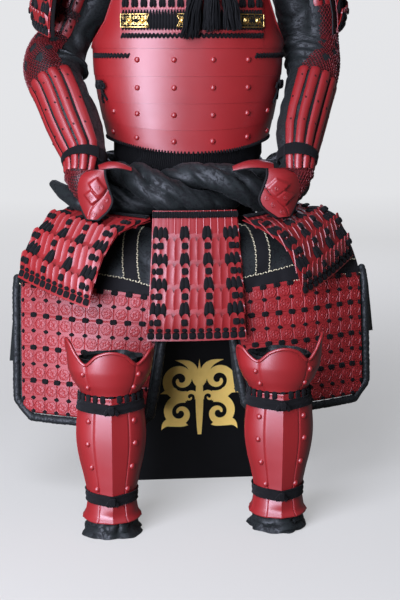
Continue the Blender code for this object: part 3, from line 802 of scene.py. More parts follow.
@dataclass(frozen=True)
class Lacquer:
    """Sprayed lacquer over iron: an even satin coat with a very fine grain."""

    name: str
    body: str
    deep: str
    roughness: float = 0.40
    coat: float = 0.85
    grain: float = 0.0009       # size of the grain that shows
    relief: float = 0.00012
    specular: float = 0.5
    cloud: float = 0.11         # size of the faint clouds in its colour
    rub: float = 0.030          # size of the rubbed places
    wear: float = 0.05          # how much rougher or smoother they are

    def material(self) -> Material:
        """Build the material.

        Returns:
            The material.
        """
        material, tree, shader, place = start_material(self.name, own_map=False)
        cloud = add_node(tree, "ShaderNodeTexNoise",
                         {"Vector": place, "Scale": 1 / self.cloud, "Detail": 3.0})
        tone = add_node(tree, "ShaderNodeMix", {SHARE: cloud, LOW: colour(self.deep),
                                                HIGH: colour(self.body)}, data_type="RGBA")
        rub = add_node(tree, "ShaderNodeTexNoise",
                       {"Vector": place, "Scale": 1 / self.rub, "Detail": 4.0})
        gloss = add_node(tree, "ShaderNodeMapRange",
                         {"Value": rub, "To Min": self.roughness - self.wear,
                          "To Max": self.roughness + self.wear})
        grain = add_node(tree, "ShaderNodeTexNoise",
                         {"Vector": place, "Scale": 1 / self.grain, "Detail": 2.0})
        relief = add_node(tree, "ShaderNodeBump",
                          {"Height": grain, "Distance": self.relief, "Strength": 0.5})
        connect(tree, shader, {"Base Color": tone.outputs[MIXED], "Roughness": gloss,
                               "Normal": relief, "Specular IOR Level": self.specular,
                               "Coat Weight": self.coat, "Coat Roughness": 0.42})
        return material


@dataclass(frozen=True)
class Brocade:
    """Figured black silk brocade: a satin ground with dull woven leaves."""

    name: str
    ground: str = "#1b1f1e"
    figure: str = "#040405"
    leaf: float = 0.013         # size of the woven leaves
    patch: float = 0.05         # size of the patches with more or fewer of them
    thread: float = 0.0011      # drawn coarser than silk, so that the weave shows

    def material(self) -> Material:
        """Build the material.

        Returns:
            The material.
        """
        material, tree, shader, place = start_material(self.name, own_map=True)
        curled = add_node(tree, "ShaderNodeTexNoise",
                          {"Vector": place, "Scale": 1 / self.leaf, "Detail": 2.0,
                           "Roughness": 0.45, "Distortion": 1.7})
        leaves = add_node(tree, "ShaderNodeMath", {0: curled, 1: 26.0, 2: -13.4},
                          operation="MULTIPLY_ADD", use_clamp=True)
        veined = add_node(tree, "ShaderNodeTexNoise",
                          {"Vector": place, "Scale": 3 / self.leaf, "Detail": 1.0,
                           "Distortion": 2.5})
        veins = add_node(tree, "ShaderNodeMath", {0: veined, 1: -13.0, 2: 8.6},
                         operation="MULTIPLY_ADD", use_clamp=True)
        woven = add_node(tree, "ShaderNodeMath", {0: leaves, 1: veins}, operation="MULTIPLY")
        patch = add_node(tree, "ShaderNodeTexNoise",
                         {"Vector": place, "Scale": 1 / self.patch, "Detail": 2.0})
        depth = add_node(tree, "ShaderNodeMapRange",
                         {"Value": patch, "To Min": 0.20, "To Max": 1.4})
        figure = add_node(tree, "ShaderNodeMath", {0: woven, 1: depth}, operation="MULTIPLY",
                          use_clamp=True)
        tone = add_node(tree, "ShaderNodeMix", {SHARE: figure, LOW: colour(self.ground),
                                                HIGH: colour(self.figure)}, data_type="RGBA")
        gloss = add_node(tree, "ShaderNodeMapRange",
                         {"Value": figure, "To Min": 0.47, "To Max": 0.80})
        wave = add_node(tree, "ShaderNodeTexWave",
                        {"Vector": place, "Scale": WAVE / self.thread, "Distortion": 0.0},
                        bands_direction="DIAGONAL")
        height = add_node(tree, "ShaderNodeMath", {0: wave, 1: 0.35, 2: figure},
                          operation="MULTIPLY_ADD")
        relief = add_node(tree, "ShaderNodeBump",
                          {"Height": height, "Distance": 0.00025, "Strength": 0.6})
        connect(tree, shader, {"Base Color": tone.outputs[MIXED], "Roughness": gloss,
                               "Normal": relief, "Specular IOR Level": 0.32,
                               "Sheen Weight": 0.03, "Sheen Roughness": 0.45})
        return material


@dataclass(frozen=True)
class PlainCloth:
    """Close-woven cloth or tape: matt, with a fine crossed weave."""

    name: str
    body: str
    deep: str
    thread: float = 0.0012      # drawn coarser than it is, so that the weave shows
    roughness: float = 0.82
    own_map: bool = True
    worn: float = 0.04          # size of the worn places

    def material(self) -> Material:
        """Build the material.

        Returns:
            The material.
        """
        material, tree, shader, place = start_material(self.name, self.own_map)
        parts = add_node(tree, "ShaderNodeSeparateXYZ", {0: place}).outputs
        threads = []
        for part in (parts[0], parts[1]):
            turns = add_node(tree, "ShaderNodeMath", {0: part, 1: tau / self.thread},
                             operation="MULTIPLY")
            threads.append(add_node(tree, "ShaderNodeMath", {0: turns}, operation="SINE"))
        crossed = add_node(tree, "ShaderNodeMath", {0: threads[0], 1: threads[1]},
                           operation="MULTIPLY")
        weave = add_node(tree, "ShaderNodeMath", {0: crossed, 1: 0.5, 2: 0.5},
                         operation="MULTIPLY_ADD")
        worn = add_node(tree, "ShaderNodeTexNoise",
                        {"Vector": place, "Scale": 1 / self.worn, "Detail": 3.0})
        faded = add_node(tree, "ShaderNodeMath", {0: worn, 1: 0.7}, operation="MULTIPLY")
        share = add_node(tree, "ShaderNodeMath", {0: weave, 1: 0.35, 2: faded},
                         operation="MULTIPLY_ADD")
        tone = add_node(tree, "ShaderNodeMix", {SHARE: share, LOW: colour(self.deep),
                                                HIGH: colour(self.body)}, data_type="RGBA")
        relief = add_node(tree, "ShaderNodeBump",
                          {"Height": weave, "Distance": 0.0002, "Strength": 0.7})
        connect(tree, shader, {"Base Color": tone.outputs[MIXED], "Normal": relief,
                               "Roughness": self.roughness, "Specular IOR Level": 0.20,
                               "Sheen Weight": 0.06, "Sheen Roughness": 0.5})
        return material


@dataclass(frozen=True)
class Braid:
    """Flat silk braid: matt black, with the slanting strands of the plait."""

    name: str
    body: str = "#111011"
    deep: str = "#050505"
    strand: float = 0.0022

    def material(self) -> Material:
        """Build the material.

        Returns:
            The material.
        """
        material, tree, shader, place = start_material(self.name, own_map=True)
        parts = add_node(tree, "ShaderNodeSeparateXYZ", {0: place}).outputs
        aside = add_node(tree, "ShaderNodeMath", {0: parts[0]}, operation="ABSOLUTE")
        slant = add_node(tree, "ShaderNodeMath", {0: parts[1], 1: aside}, operation="ADD")
        turns = add_node(tree, "ShaderNodeMath", {0: slant, 1: tau / self.strand},
                         operation="MULTIPLY")
        waves = add_node(tree, "ShaderNodeMath", {0: turns}, operation="SINE")
        strands = add_node(tree, "ShaderNodeMath", {0: waves, 1: 0.5, 2: 0.5},
                           operation="MULTIPLY_ADD")
        tone = add_node(tree, "ShaderNodeMix", {SHARE: strands, LOW: colour(self.deep),
                                                HIGH: colour(self.body)}, data_type="RGBA")
        relief = add_node(tree, "ShaderNodeBump",
                          {"Height": strands, "Distance": 0.0005, "Strength": 0.7})
        connect(tree, shader, {"Base Color": tone.outputs[MIXED], "Normal": relief,
                               "Roughness": 0.74, "Specular IOR Level": 0.14,
                               "Sheen Weight": 0.04})
        return material


@dataclass(frozen=True)
class Gilt:
    """Gilded copper: bright, with a punched ground and darker hollows."""

    name: str
    body: str = "#fbdc8c"
    deep: str = "#b98438"
    roughness: float = 0.27
    punch: float = 0.0016
    metal: float = 1.0          # less than one where the gold lies in clear lacquer
    tarnish: float = 0.012      # size of the darker places

    def material(self) -> Material:
        """Build the material.

        Returns:
            The material.
        """
        material, tree, shader, place = start_material(self.name, own_map=False)
        pits = add_node(tree, "ShaderNodeTexVoronoi",
                        {"Vector": place, "Scale": 1 / self.punch}).outputs["Distance"]
        tarnish = add_node(tree, "ShaderNodeTexNoise",
                           {"Vector": place, "Scale": 1 / self.tarnish, "Detail": 3.0})
        bright = add_node(tree, "ShaderNodeMath", {0: tarnish, 1: 0.8}, operation="MULTIPLY")
        share = add_node(tree, "ShaderNodeMath", {0: pits, 1: 0.5, 2: bright},
                         operation="MULTIPLY_ADD")
        tone = add_node(tree, "ShaderNodeMix", {SHARE: share, LOW: colour(self.deep),
                                                HIGH: colour(self.body)}, data_type="RGBA")
        gloss = add_node(tree, "ShaderNodeMapRange",
                         {"Value": tarnish, "To Min": self.roughness - 0.06,
                          "To Max": self.roughness + 0.08})
        relief = add_node(tree, "ShaderNodeBump",
                          {"Height": pits, "Distance": 0.0002, "Strength": 0.4})
        connect(tree, shader, {"Base Color": tone.outputs[MIXED], "Roughness": gloss,
                               "Normal": relief, "Metallic": self.metal})
        return material


@dataclass(frozen=True)
class Timber:
    """Planed softwood: long grain with darker year rings."""

    name: str
    body: str = "#b98d5c"
    deep: str = "#8c6238"
    ring: float = 0.009

    def material(self) -> Material:
        """Build the material.

        Returns:
            The material.
        """
        material, tree, shader, place = start_material(self.name, own_map=False)
        stretched = add_node(tree, "ShaderNodeMapping",
                             {"Vector": place, "Scale": (1.0, 0.12, 0.2)})
        rings = add_node(tree, "ShaderNodeTexWave",
                         {"Vector": stretched, "Scale": WAVE / self.ring,
                          "Distortion": 3.0, "Detail": 2.0})
        tone = add_node(tree, "ShaderNodeMix", {SHARE: rings, LOW: colour(self.deep),
                                                HIGH: colour(self.body)}, data_type="RGBA")
        gloss = add_node(tree, "ShaderNodeMapRange",
                         {"Value": rings, "To Min": 0.62, "To Max": 0.50})
        relief = add_node(tree, "ShaderNodeBump",
                          {"Height": rings, "Distance": 0.0002, "Strength": 0.5})
        connect(tree, shader, {"Base Color": tone.outputs[MIXED], "Roughness": gloss,
                               "Normal": relief})
        return material


@dataclass(frozen=True)
class Palette:
    """Every finish of the armour, built once."""

    red: Material               # main plates: an even satin red with soft highlights
    plate: Material             # the apron's small plates: duller, so that they don't glint
    mail: Material              # rings and links: the plates' red lacquer darkened, as painted shade among the small rings
    black: Material             # the box: nearly black, with a faint broad sheen
    brocade: Material           # dark silk whose dull leaves show in a satin ground
    tape: Material              # flat matt black
    braid: Material             # matt black with slanting strands
    hair: Material              # the tassel: the same with broader, limper strands
    leather: Material           # bound edges: black, dry and slightly pebbled
    gilt: Material              # the mounts: bright gold with darker hollows
    gold_leaf: Material         # the scroll: flat warm gold that hardly mirrors
    thread: Material            # the zigzag stitches: cream and matt
    timber: Material            # the stand: pale straight-grained wood

    @classmethod
    def mixed(cls) -> "Palette":
        """Build every material.

        Returns:
            The palette.
        """
        return cls(
            red=Lacquer("red_lacquered_iron", "#92191b", "#7c1416").material(),
            plate=Lacquer("red_lacquered_plates", "#94191b", "#7a1315", 0.54, 0.30,
                          0.0012).material(),
            # the mail's darker red is painted shade: the same lacquer as the plates, darkened to
            # look shaded among the rings
            mail=Lacquer("red_lacquered_mail", "#701619", "#480d0f", 0.48, 0.2).material(),
            black=Lacquer("black_lacquered_wood", "#0c0c0c", "#070707", 0.36, 0.05,
                          0.0016, specular=0.22).material(),
            brocade=Brocade("black_silk_brocade").material(),
            tape=PlainCloth("black_cotton_tape", "#121112", "#080708").material(),
            braid=Braid("black_silk_braid").material(),
            hair=Braid("black_tassel_silk", "#0e0f10", "#050505", 0.004).material(),
            leather=Lacquer("black_leather_binding", "#151313", "#0a0909", 0.62, 0.0,
                            0.0014, 0.0003, 0.20).material(),
            gilt=Gilt("gilded_copper").material(),
            gold_leaf=Gilt("gold_leaf_on_lacquer", "#ffd873", "#f3c862", 0.55,
                           0.02, 0.15).material(),
            thread=PlainCloth("cream_linen_thread", "#d8cfae", "#b3a883", 0.0009, 0.85,
                              own_map=False).material(),
            timber=Timber("planed_cypress").material(),
        )


# ------------------------------------------------------------------ the workshop
@dataclass
class Workshop:
    """What every sub-assembly is built with: the finishes, the trees and the units."""

    finish: Palette
    strewer: Strewer
    corder: Corder

    def __post_init__(self) -> None:
        """Draw the units that are repeated all over the armour."""
        self.rivet = bpy.data.objects.new("rivet", revolve("rivet", (
            (0.0070, -0.0004), (0.0068, 0.0006), (0.0060, 0.0022), (0.0044, 0.0038),
            (0.0022, 0.0046), (0.0001, 0.0049)), 14))
        self.knot = pillow("knot", 0.0146, 0.0140, 0.0048, power=4.0, groove=0.0009)
        self.bead = pillow("bead", 0.0098, 0.0112, 0.0040, power=2.2, sides=10)
        self.diamond = pillow("diamond", 0.0098, 0.0098, 0.0036, power=1.3, sides=8)
        self.strand = pillow("strand", 0.0112, 0.0340, 0.0062, power=2.6, taper=0.30)
        self.plait = pillow("plait", 0.0062, 0.0150, 0.0040, power=2.6, sides=10)
        self.stitch = pillow("stitch", 0.0011, 0.0044, 0.0011, power=2.4, sides=6)
        self.link = pillow("link", 0.0016, 0.0064, 0.0018, power=2.2, sides=6)
        self.ring = bpy.data.objects.new("ring", revolve("ring", (
            (0.0043, -0.0006), (0.0041, 0.0007), (0.0034, 0.0007), (0.0031, -0.0006)), 6))
        self.flower = flower_unit(0.0148)

    def dress(self, nodes: Sequence[str], finish: Material) -> None:
        """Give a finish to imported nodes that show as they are.

        Args:
            nodes: their names.
            finish: the material.
        """
        for node in nodes:
            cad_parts[node].data.materials.clear()
            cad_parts[node].data.materials.append(finish)
            LOG.info("%s: packed node", node)

    def linked(self, rings: Sequence[Spot], links: Sequence[Spot],
               seed: int) -> list[Object]:
        """Mail: its rings, and the links between them.

        Args:
            rings: where the rings go.
            links: where the links go.
            seed: fixes the random turns.

        Returns:
            The rings and the links.
        """
        mail = self.finish.mail
        return [self.strewer.strew("rings", self.ring, rings, mail, 0.5, seed),
                self.strewer.strew("links", self.link, links, mail, 0.9, seed + 1)]

    def hand_over(self, piece: Object, slot: str, *nodes: str) -> Object:
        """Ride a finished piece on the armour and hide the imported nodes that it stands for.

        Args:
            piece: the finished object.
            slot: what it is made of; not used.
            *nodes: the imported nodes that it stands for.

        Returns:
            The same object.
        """
        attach(piece, ROOT)
        if nodes:
            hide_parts(*nodes)
        LOG.info("%s: %d faces", piece.name, len(piece.data.polygons))
        return piece


# ------------------------------------------------------------------ box and stand
@dataclass
class ArmourBox:
    """The black lacquered box that carries the armour, with its gold scroll."""

    front: float = -0.200
    centre: tuple[float, float] = (0.010, 0.213)
    reach: float = 0.097        # half the size of the scroll
    leaf: float = 0.0006        # how far the gold stands off the lacquer
    lift: float = 0.00007       # how much higher each later stroke lies
    slope: float = 0.0004       # how much higher a stroke ends than it starts
    hair: float = 0.0002        # least half width of a stroke
    # each tendril's middle and radius in shares of the reach, where its outer end starts in
    # degrees, and how many times it winds
    tendrils: tuple[tuple[tuple[float, float], float, float, float], ...] = (
        ((0.48, 0.46), 0.46, 250, 1.35), ((0.50, -0.42), 0.42, 110, -1.30),
        ((0.24, 0.00), 0.19, 200, -1.05))
    # each blade's foot, its tip and how far it bows, in shares of the reach
    blades: tuple[tuple[tuple[float, float], tuple[float, float], float], ...] = (
        ((0.10, 0.30), (0.62, 0.98), 0.16), ((0.30, -0.75), (0.98, -0.86), -0.14),
        ((0.62, 0.02), (1.00, 0.10), 0.10))

    def stroke(self, shape: BMesh, path: Sequence[tuple[float, float]],
               width: Callable[[float], float], number: int) -> None:
        """Lay one brush stroke of gold on the front of the box.

        Args:
            shape: the mesh it is added to.
            path: its middle line, across and up from the scroll's centre.
            width: half its width at a share of its length.
            number: its place in the order of laying; later strokes lie on earlier ones.
        """
        count = len(path) - 1
        edges = []
        for index, (across, up) in enumerate(path):
            before, after = path[max(index - 1, 0)], path[min(index + 1, count)]
            ahead = Vector((after[0] - before[0], after[1] - before[1])).normalized()
            half = max(width(index / count), self.hair)
            pair = []
            for hand in (-1, 1):
                spot_x = self.centre[0] + across + hand * half * ahead.y
                spot_z = self.centre[1] + up - hand * half * ahead.x
                pair.append((spot_x, spot_z))
            edges.append(pair)
        front = [[shape.verts.new((x, self.front - self.leaf - self.lift * number
                                   - self.slope * index / count, z)) for x, z in pair]
                 for index, pair in enumerate(edges)]
        back = [[shape.verts.new((x, self.front + self.leaf, z)) for x, z in pair]
                for pair in edges]
        for index in range(count):
            low, high = front[index], front[index + 1]
            under, over = back[index], back[index + 1]
            shape.faces.new((low[0], low[1], high[1], high[0]))
            shape.faces.new((under[1], under[0], over[0], over[1]))
            shape.faces.new((low[1], under[1], over[1], high[1]))
            shape.faces.new((under[0], low[0], high[0], over[0]))
        for first, second in ((front[0], back[0]), (back[-1], front[-1])):
            shape.faces.new((first[1], first[0], second[0], second[1]))

    def curl(self, start: float, turns: float, size: float,
             middle: tuple[float, float]) -> list[tuple[float, float]]:
        """The middle line of a spiral tendril that winds in to its middle.

        Args:
            start: angle at its outer end.
            turns: how many times it winds to the left, below zero to the right.
            size: radius of its outer end.
            middle: its middle, across and up.

        Returns:
            The points of the line.
        """
        path = []
        for share in spread(0.0, 1.0, 40):
            radius = size * (1 - 0.86 * share ** 0.8)
            angle = start + turns * tau * share
            path.append((middle[0] + radius * cos(angle),
                         middle[1] + radius * sin(angle)))
        return path

    def blade(self, foot: tuple[float, float], tip: tuple[float, float], bow: float,
              hand: int) -> list[tuple[float, float]]:
        """The middle line of a leaf's blade.

        Args:
            foot: where it starts, in shares of the reach.
            tip: where it ends.
            bow: how far it bows out between them.
            hand: 1 on the right, -1 on the left.

        Returns:
            The points of the line.
        """
        path = []
        for share in spread(0.0, 1.0, 14):
            lift = bow * sin(pi * share)
            path.append((hand * self.reach * (foot[0] + (tip[0] - foot[0]) * share - lift),
                         self.reach * (foot[1] + (tip[1] - foot[1]) * share + abs(lift))))
        return path

    def build(self, shop: Workshop) -> None:
        """Dress the box and lay the gold scroll on its front.

        Args:
            shop: the workshop.
        """
        shop.dress(("box_body", "box_lid"), shop.finish.black)
        shape = bmesh.new()
        reach = self.reach
        strokes = []
        for hand in (-1, 1):
            for middle, size, start, turns in self.tendrils:
                path = self.curl(radians(start), turns, size * reach,
                                 (middle[0] * reach, middle[1] * reach))
                strokes.append(([(hand * across, up) for across, up in path],
                                lambda share, s=size: reach * s * (
                                    0.05 + 0.24 * (1 - share) ** 0.7)))
            for foot, tip, bow in self.blades:
                strokes.append((self.blade(foot, tip, bow, hand),
                                lambda share: reach * 0.115 * sin(pi * share ** 0.7)))
        stem = [(0.0, reach * (-1.0 + 2.0 * share)) for share in spread(0.0, 1.0, 30)]
        strokes.append((stem, lambda share: reach * (0.05 + 0.05 * sin(
            pi * share)) * (1 - share ** 6)))
        for number, (path, width) in enumerate(strokes):
            self.stroke(shape, path, width, number)
        bmesh.ops.recalc_face_normals(shape, faces=shape.faces)
        scroll = settle(new_object("box_scroll", mesh_from("box_scroll", shape)),
                        shop.finish.gold_leaf)
        shop.hand_over(scroll, "gilt_metal")


@dataclass
class DisplayStand:
    """The plain wooden stand inside the armour."""

    nodes: tuple[str, ...] = ("stand_post", "shoulder_bar", "thigh_rail_right",
                              "thigh_rail_left")

    def build(self, shop: Workshop) -> None:
        """Dress the stand's four pieces."""
        shop.dress(self.nodes, shop.finish.timber)


# ------------------------------------------------------------------ cuirass
DO_SECTIONS = (
    (0.812, 0.198, 0.150, 0.142), (0.868, 0.210, 0.156, 0.146), (0.932, 0.224, 0.161, 0.150),
    (0.997, 0.234, 0.165, 0.153), (1.063, 0.238, 0.167, 0.155), (1.120, 0.236, 0.166, 0.155),
    (1.180, 0.228, 0.160, 0.152), (1.270, 0.205, 0.146, 0.140))


@dataclass
class Cuirass:
    """The riveted cuirass: five lames in front and behind, with rolled armholes."""

    hem: float = 0.812
    dip: float = 0.032
    dip_top: float = 0.950
    power: float = 2.3
    seams: tuple[float, ...] = (0.868, 0.932, 0.997, 1.063)
    step: float = 0.0011        # how far a lame's lower edge stands over the next
    laces: int = 168            # laces that grip the hem and hang the skirt from it
    columns: int = 220          # faces across each half
    wall: float = 0.0024
    rim: float = 0.0024         # radius of the rolled armhole
    gap: float = 0.003          # angle left open at each side seam
    # height of each row of rivets and their distances from the middle
    rivets: tuple[tuple[float, tuple[float, ...]], ...] = (
        (1.036, (0.047, 0.134)), (0.970, (0.047, 0.134)), (0.9045, (0.047, 0.134, 0.188)),
        (0.840, (0.047, 0.134, 0.186)))
    front_reach: tuple[tuple[float, float], ...] = (
        (1.063, 0.238), (1.085, 0.233), (1.106, 0.219), (1.135, 0.203), (1.175, 0.191),
        (1.225, 0.174))
    back_reach: tuple[tuple[float, float], ...] = (
        (1.063, 0.238), (1.085, 0.232), (1.106, 0.218), (1.140, 0.203), (1.200, 0.188),
        (1.260, 0.170))

    def surface(self, turn: float, nominal: float, out: float) -> Vector:
        """A point on the cuirass at a turn from the front and a nominal height.

        Args:
            turn: the turn.
            nominal: height before the hem dips at the sides.
            out: distance outside the surface.

        Returns:
            The point.
        """
        share = clamp((self.dip_top - nominal) / (self.dip_top - self.hem))
        height = nominal + self.dip * share * sin(turn) ** 2
        return oval_at(DO_SECTIONS, turn, height, out, self.power)

    def turn_at(self, nominal: float, distance: float) -> float:
        """The turn at which the front is this far from the middle.

        Args:
            nominal: height before the hem dips.
            distance: distance from the middle, to the wearer's left.

        Returns:
            The turn.
        """
        half_width = read_at(DO_SECTIONS, nominal)[1]
        share = clamp(abs(distance) / half_width)
        return copysign(math.asin(share ** (self.power / 2)), distance)

    def on_chest(self, distance: float, nominal: float, out: float) -> Vector:
        """A point on the front at a distance from the middle."""
        return self.surface(self.turn_at(nominal, distance), nominal, out)

    def levels(self, top: float) -> list[tuple[float, float]]:
        """Nominal heights from the hem up, each with how far the lame stands out there.

        Args:
            top: height of the upper edge.

        Returns:
            Pairs of height and distance out.
        """
        edges = (self.hem, *self.seams, top)
        found = []
        for low, high in zip(edges, edges[1:]):
            lip = 0.0 if low == self.hem else self.step
            for share in (0.0, 0.02, 0.10, 0.40, 1.0):
                found.append((low + (high - low) * share + (0.0002 if share == 0 else 0.0),
                              lip * (1 - share) ** 0.6))
        return found

    def half(self, name: str, middle: float, reach: Sequence[tuple[float, float]],
             finish: Material) -> tuple[Object, Rows]:
        """Build the front or the back.

        Args:
            name: name of the piece.
            middle: turn of its middle, 0 for the front and pi for the back.
            reach: height and half width of its armhole rows.
            finish: its material.

        Returns:
            The piece and its rows of points.
        """
        seam = pi / 2 - self.gap
        rows = []
        for nominal, lip in self.levels(reach[-1][0]):
            limit = seam
            if nominal > reach[0][0] + 0.001:
                limit = min(seam, self.turn_at(nominal, read_at(reach, nominal)[1]))
            row = []
            for column in range(self.columns + 1):
                turn = middle + limit * (2 * column / self.columns - 1)
                row.append(self.surface(turn, nominal, lip))
            rows.append(row)
        return shell(name, rows, self.wall, finish), rows

    def build(self, shop: Workshop) -> None:
        """Build the front, the back, their rolled edges and their rivets.

        Args:
            shop: the workshop.
        """
        red = shop.finish.red
        for name, middle, reach in (("front", 0.0, self.front_reach),
                                    ("back", pi, self.back_reach)):
            body, rows = self.half(f"cuirass_{name}", middle, reach, red)
            above = [row for row in rows if row[0].z > self.seams[-1] - 0.02]
            rim = [row[0] for row in above] + rows[-1][4:-4:4]
            rim += [row[-1] for row in reversed(above)]
            edge = shop.corder.run(f"{name}_rim", [rim], self.rim, red, 8)
            shop.hand_over(joined(f"cuirass_{name}_plates", [body, edge]), "red_lacquer",
                           f"do_{name}")
        spots = []
        for nominal, asides in self.rivets:
            for distance in asides:
                for hand in (-1, 1):
                    turn = self.turn_at(nominal, hand * distance)
                    for middle in (0.0, pi):
                        spots.append(spot_on(self.surface, turn + middle, nominal, 0.0006))
        rivets = shop.strewer.strew("cuirass_rivets", shop.rivet, spots, red)
        shop.hand_over(rivets, "red_lacquer")
        spots = [spot_on(self.surface, turn, self.hem + 0.0010, 0.0002, 0.0,
                         (0.50, 0.82, 0.9)) for turn in around(self.laces)]
        laces = shop.strewer.strew("cuirass_hem_laces", shop.bead, spots,
                                   shop.finish.braid, 0.1, 3)
        shop.hand_over(laces, "black_braid")


@dataclass
class ShoulderStraps:
    """Padded brocade straps from the back of the cuirass over the shoulders."""

    middle: float = 0.116       # distance of its middle line from the neck's
    half_width: float = 0.030
    thickness: float = 0.010

    def build(self, shop: Workshop, cuirass: Cuirass) -> None:
        """Build both straps, each a rounded padded band.

        Args:
            shop: the workshop.
            cuirass: the cuirass that it goes on.
        """
        inside = -(PLATE + LAY + 0.006)
        for side in Side:
            rows = []
            for share in spread(-1.0, 1.0, 8):
                distance = side.value * (self.middle + self.half_width * share)
                path = [cuirass.on_chest(distance, height, inside)
                        for height in (1.165, 1.215)]
                path += [Vector((distance, y, height)) for y, height in (
                    (-0.078, 1.268), (-0.030, 1.289), (0.030, 1.293), (0.082, 1.282))]
                path += [cuirass.surface(pi - cuirass.turn_at(height, distance),
                                         height, inside) for height in (1.240, 1.190)]
                line = [Vector(flow(path, place)) for place in spread(0, 7, 35)]
                rows.append(line)
            columns = list(zip(*rows))
            if side is Side.RIGHT:
                columns = [tuple(reversed(column)) for column in columns]
            body = new_object("strap", grid_mesh("strap", [list(row) for row in columns]))
            wall = body.modifiers.new("Wall", "SOLIDIFY")
            wall.thickness = self.thickness
            wall.offset = 0.0
            soft = body.modifiers.new("Soft", "SUBSURF")
            soft.levels = 1
            soft.render_levels = 1
            settle(body, shop.finish.brocade, 60.0)
            body.name = f"padded_strap_{side.label}"
            shop.hand_over(body, "black_brocade", f"shoulder_strap_{side.label}")


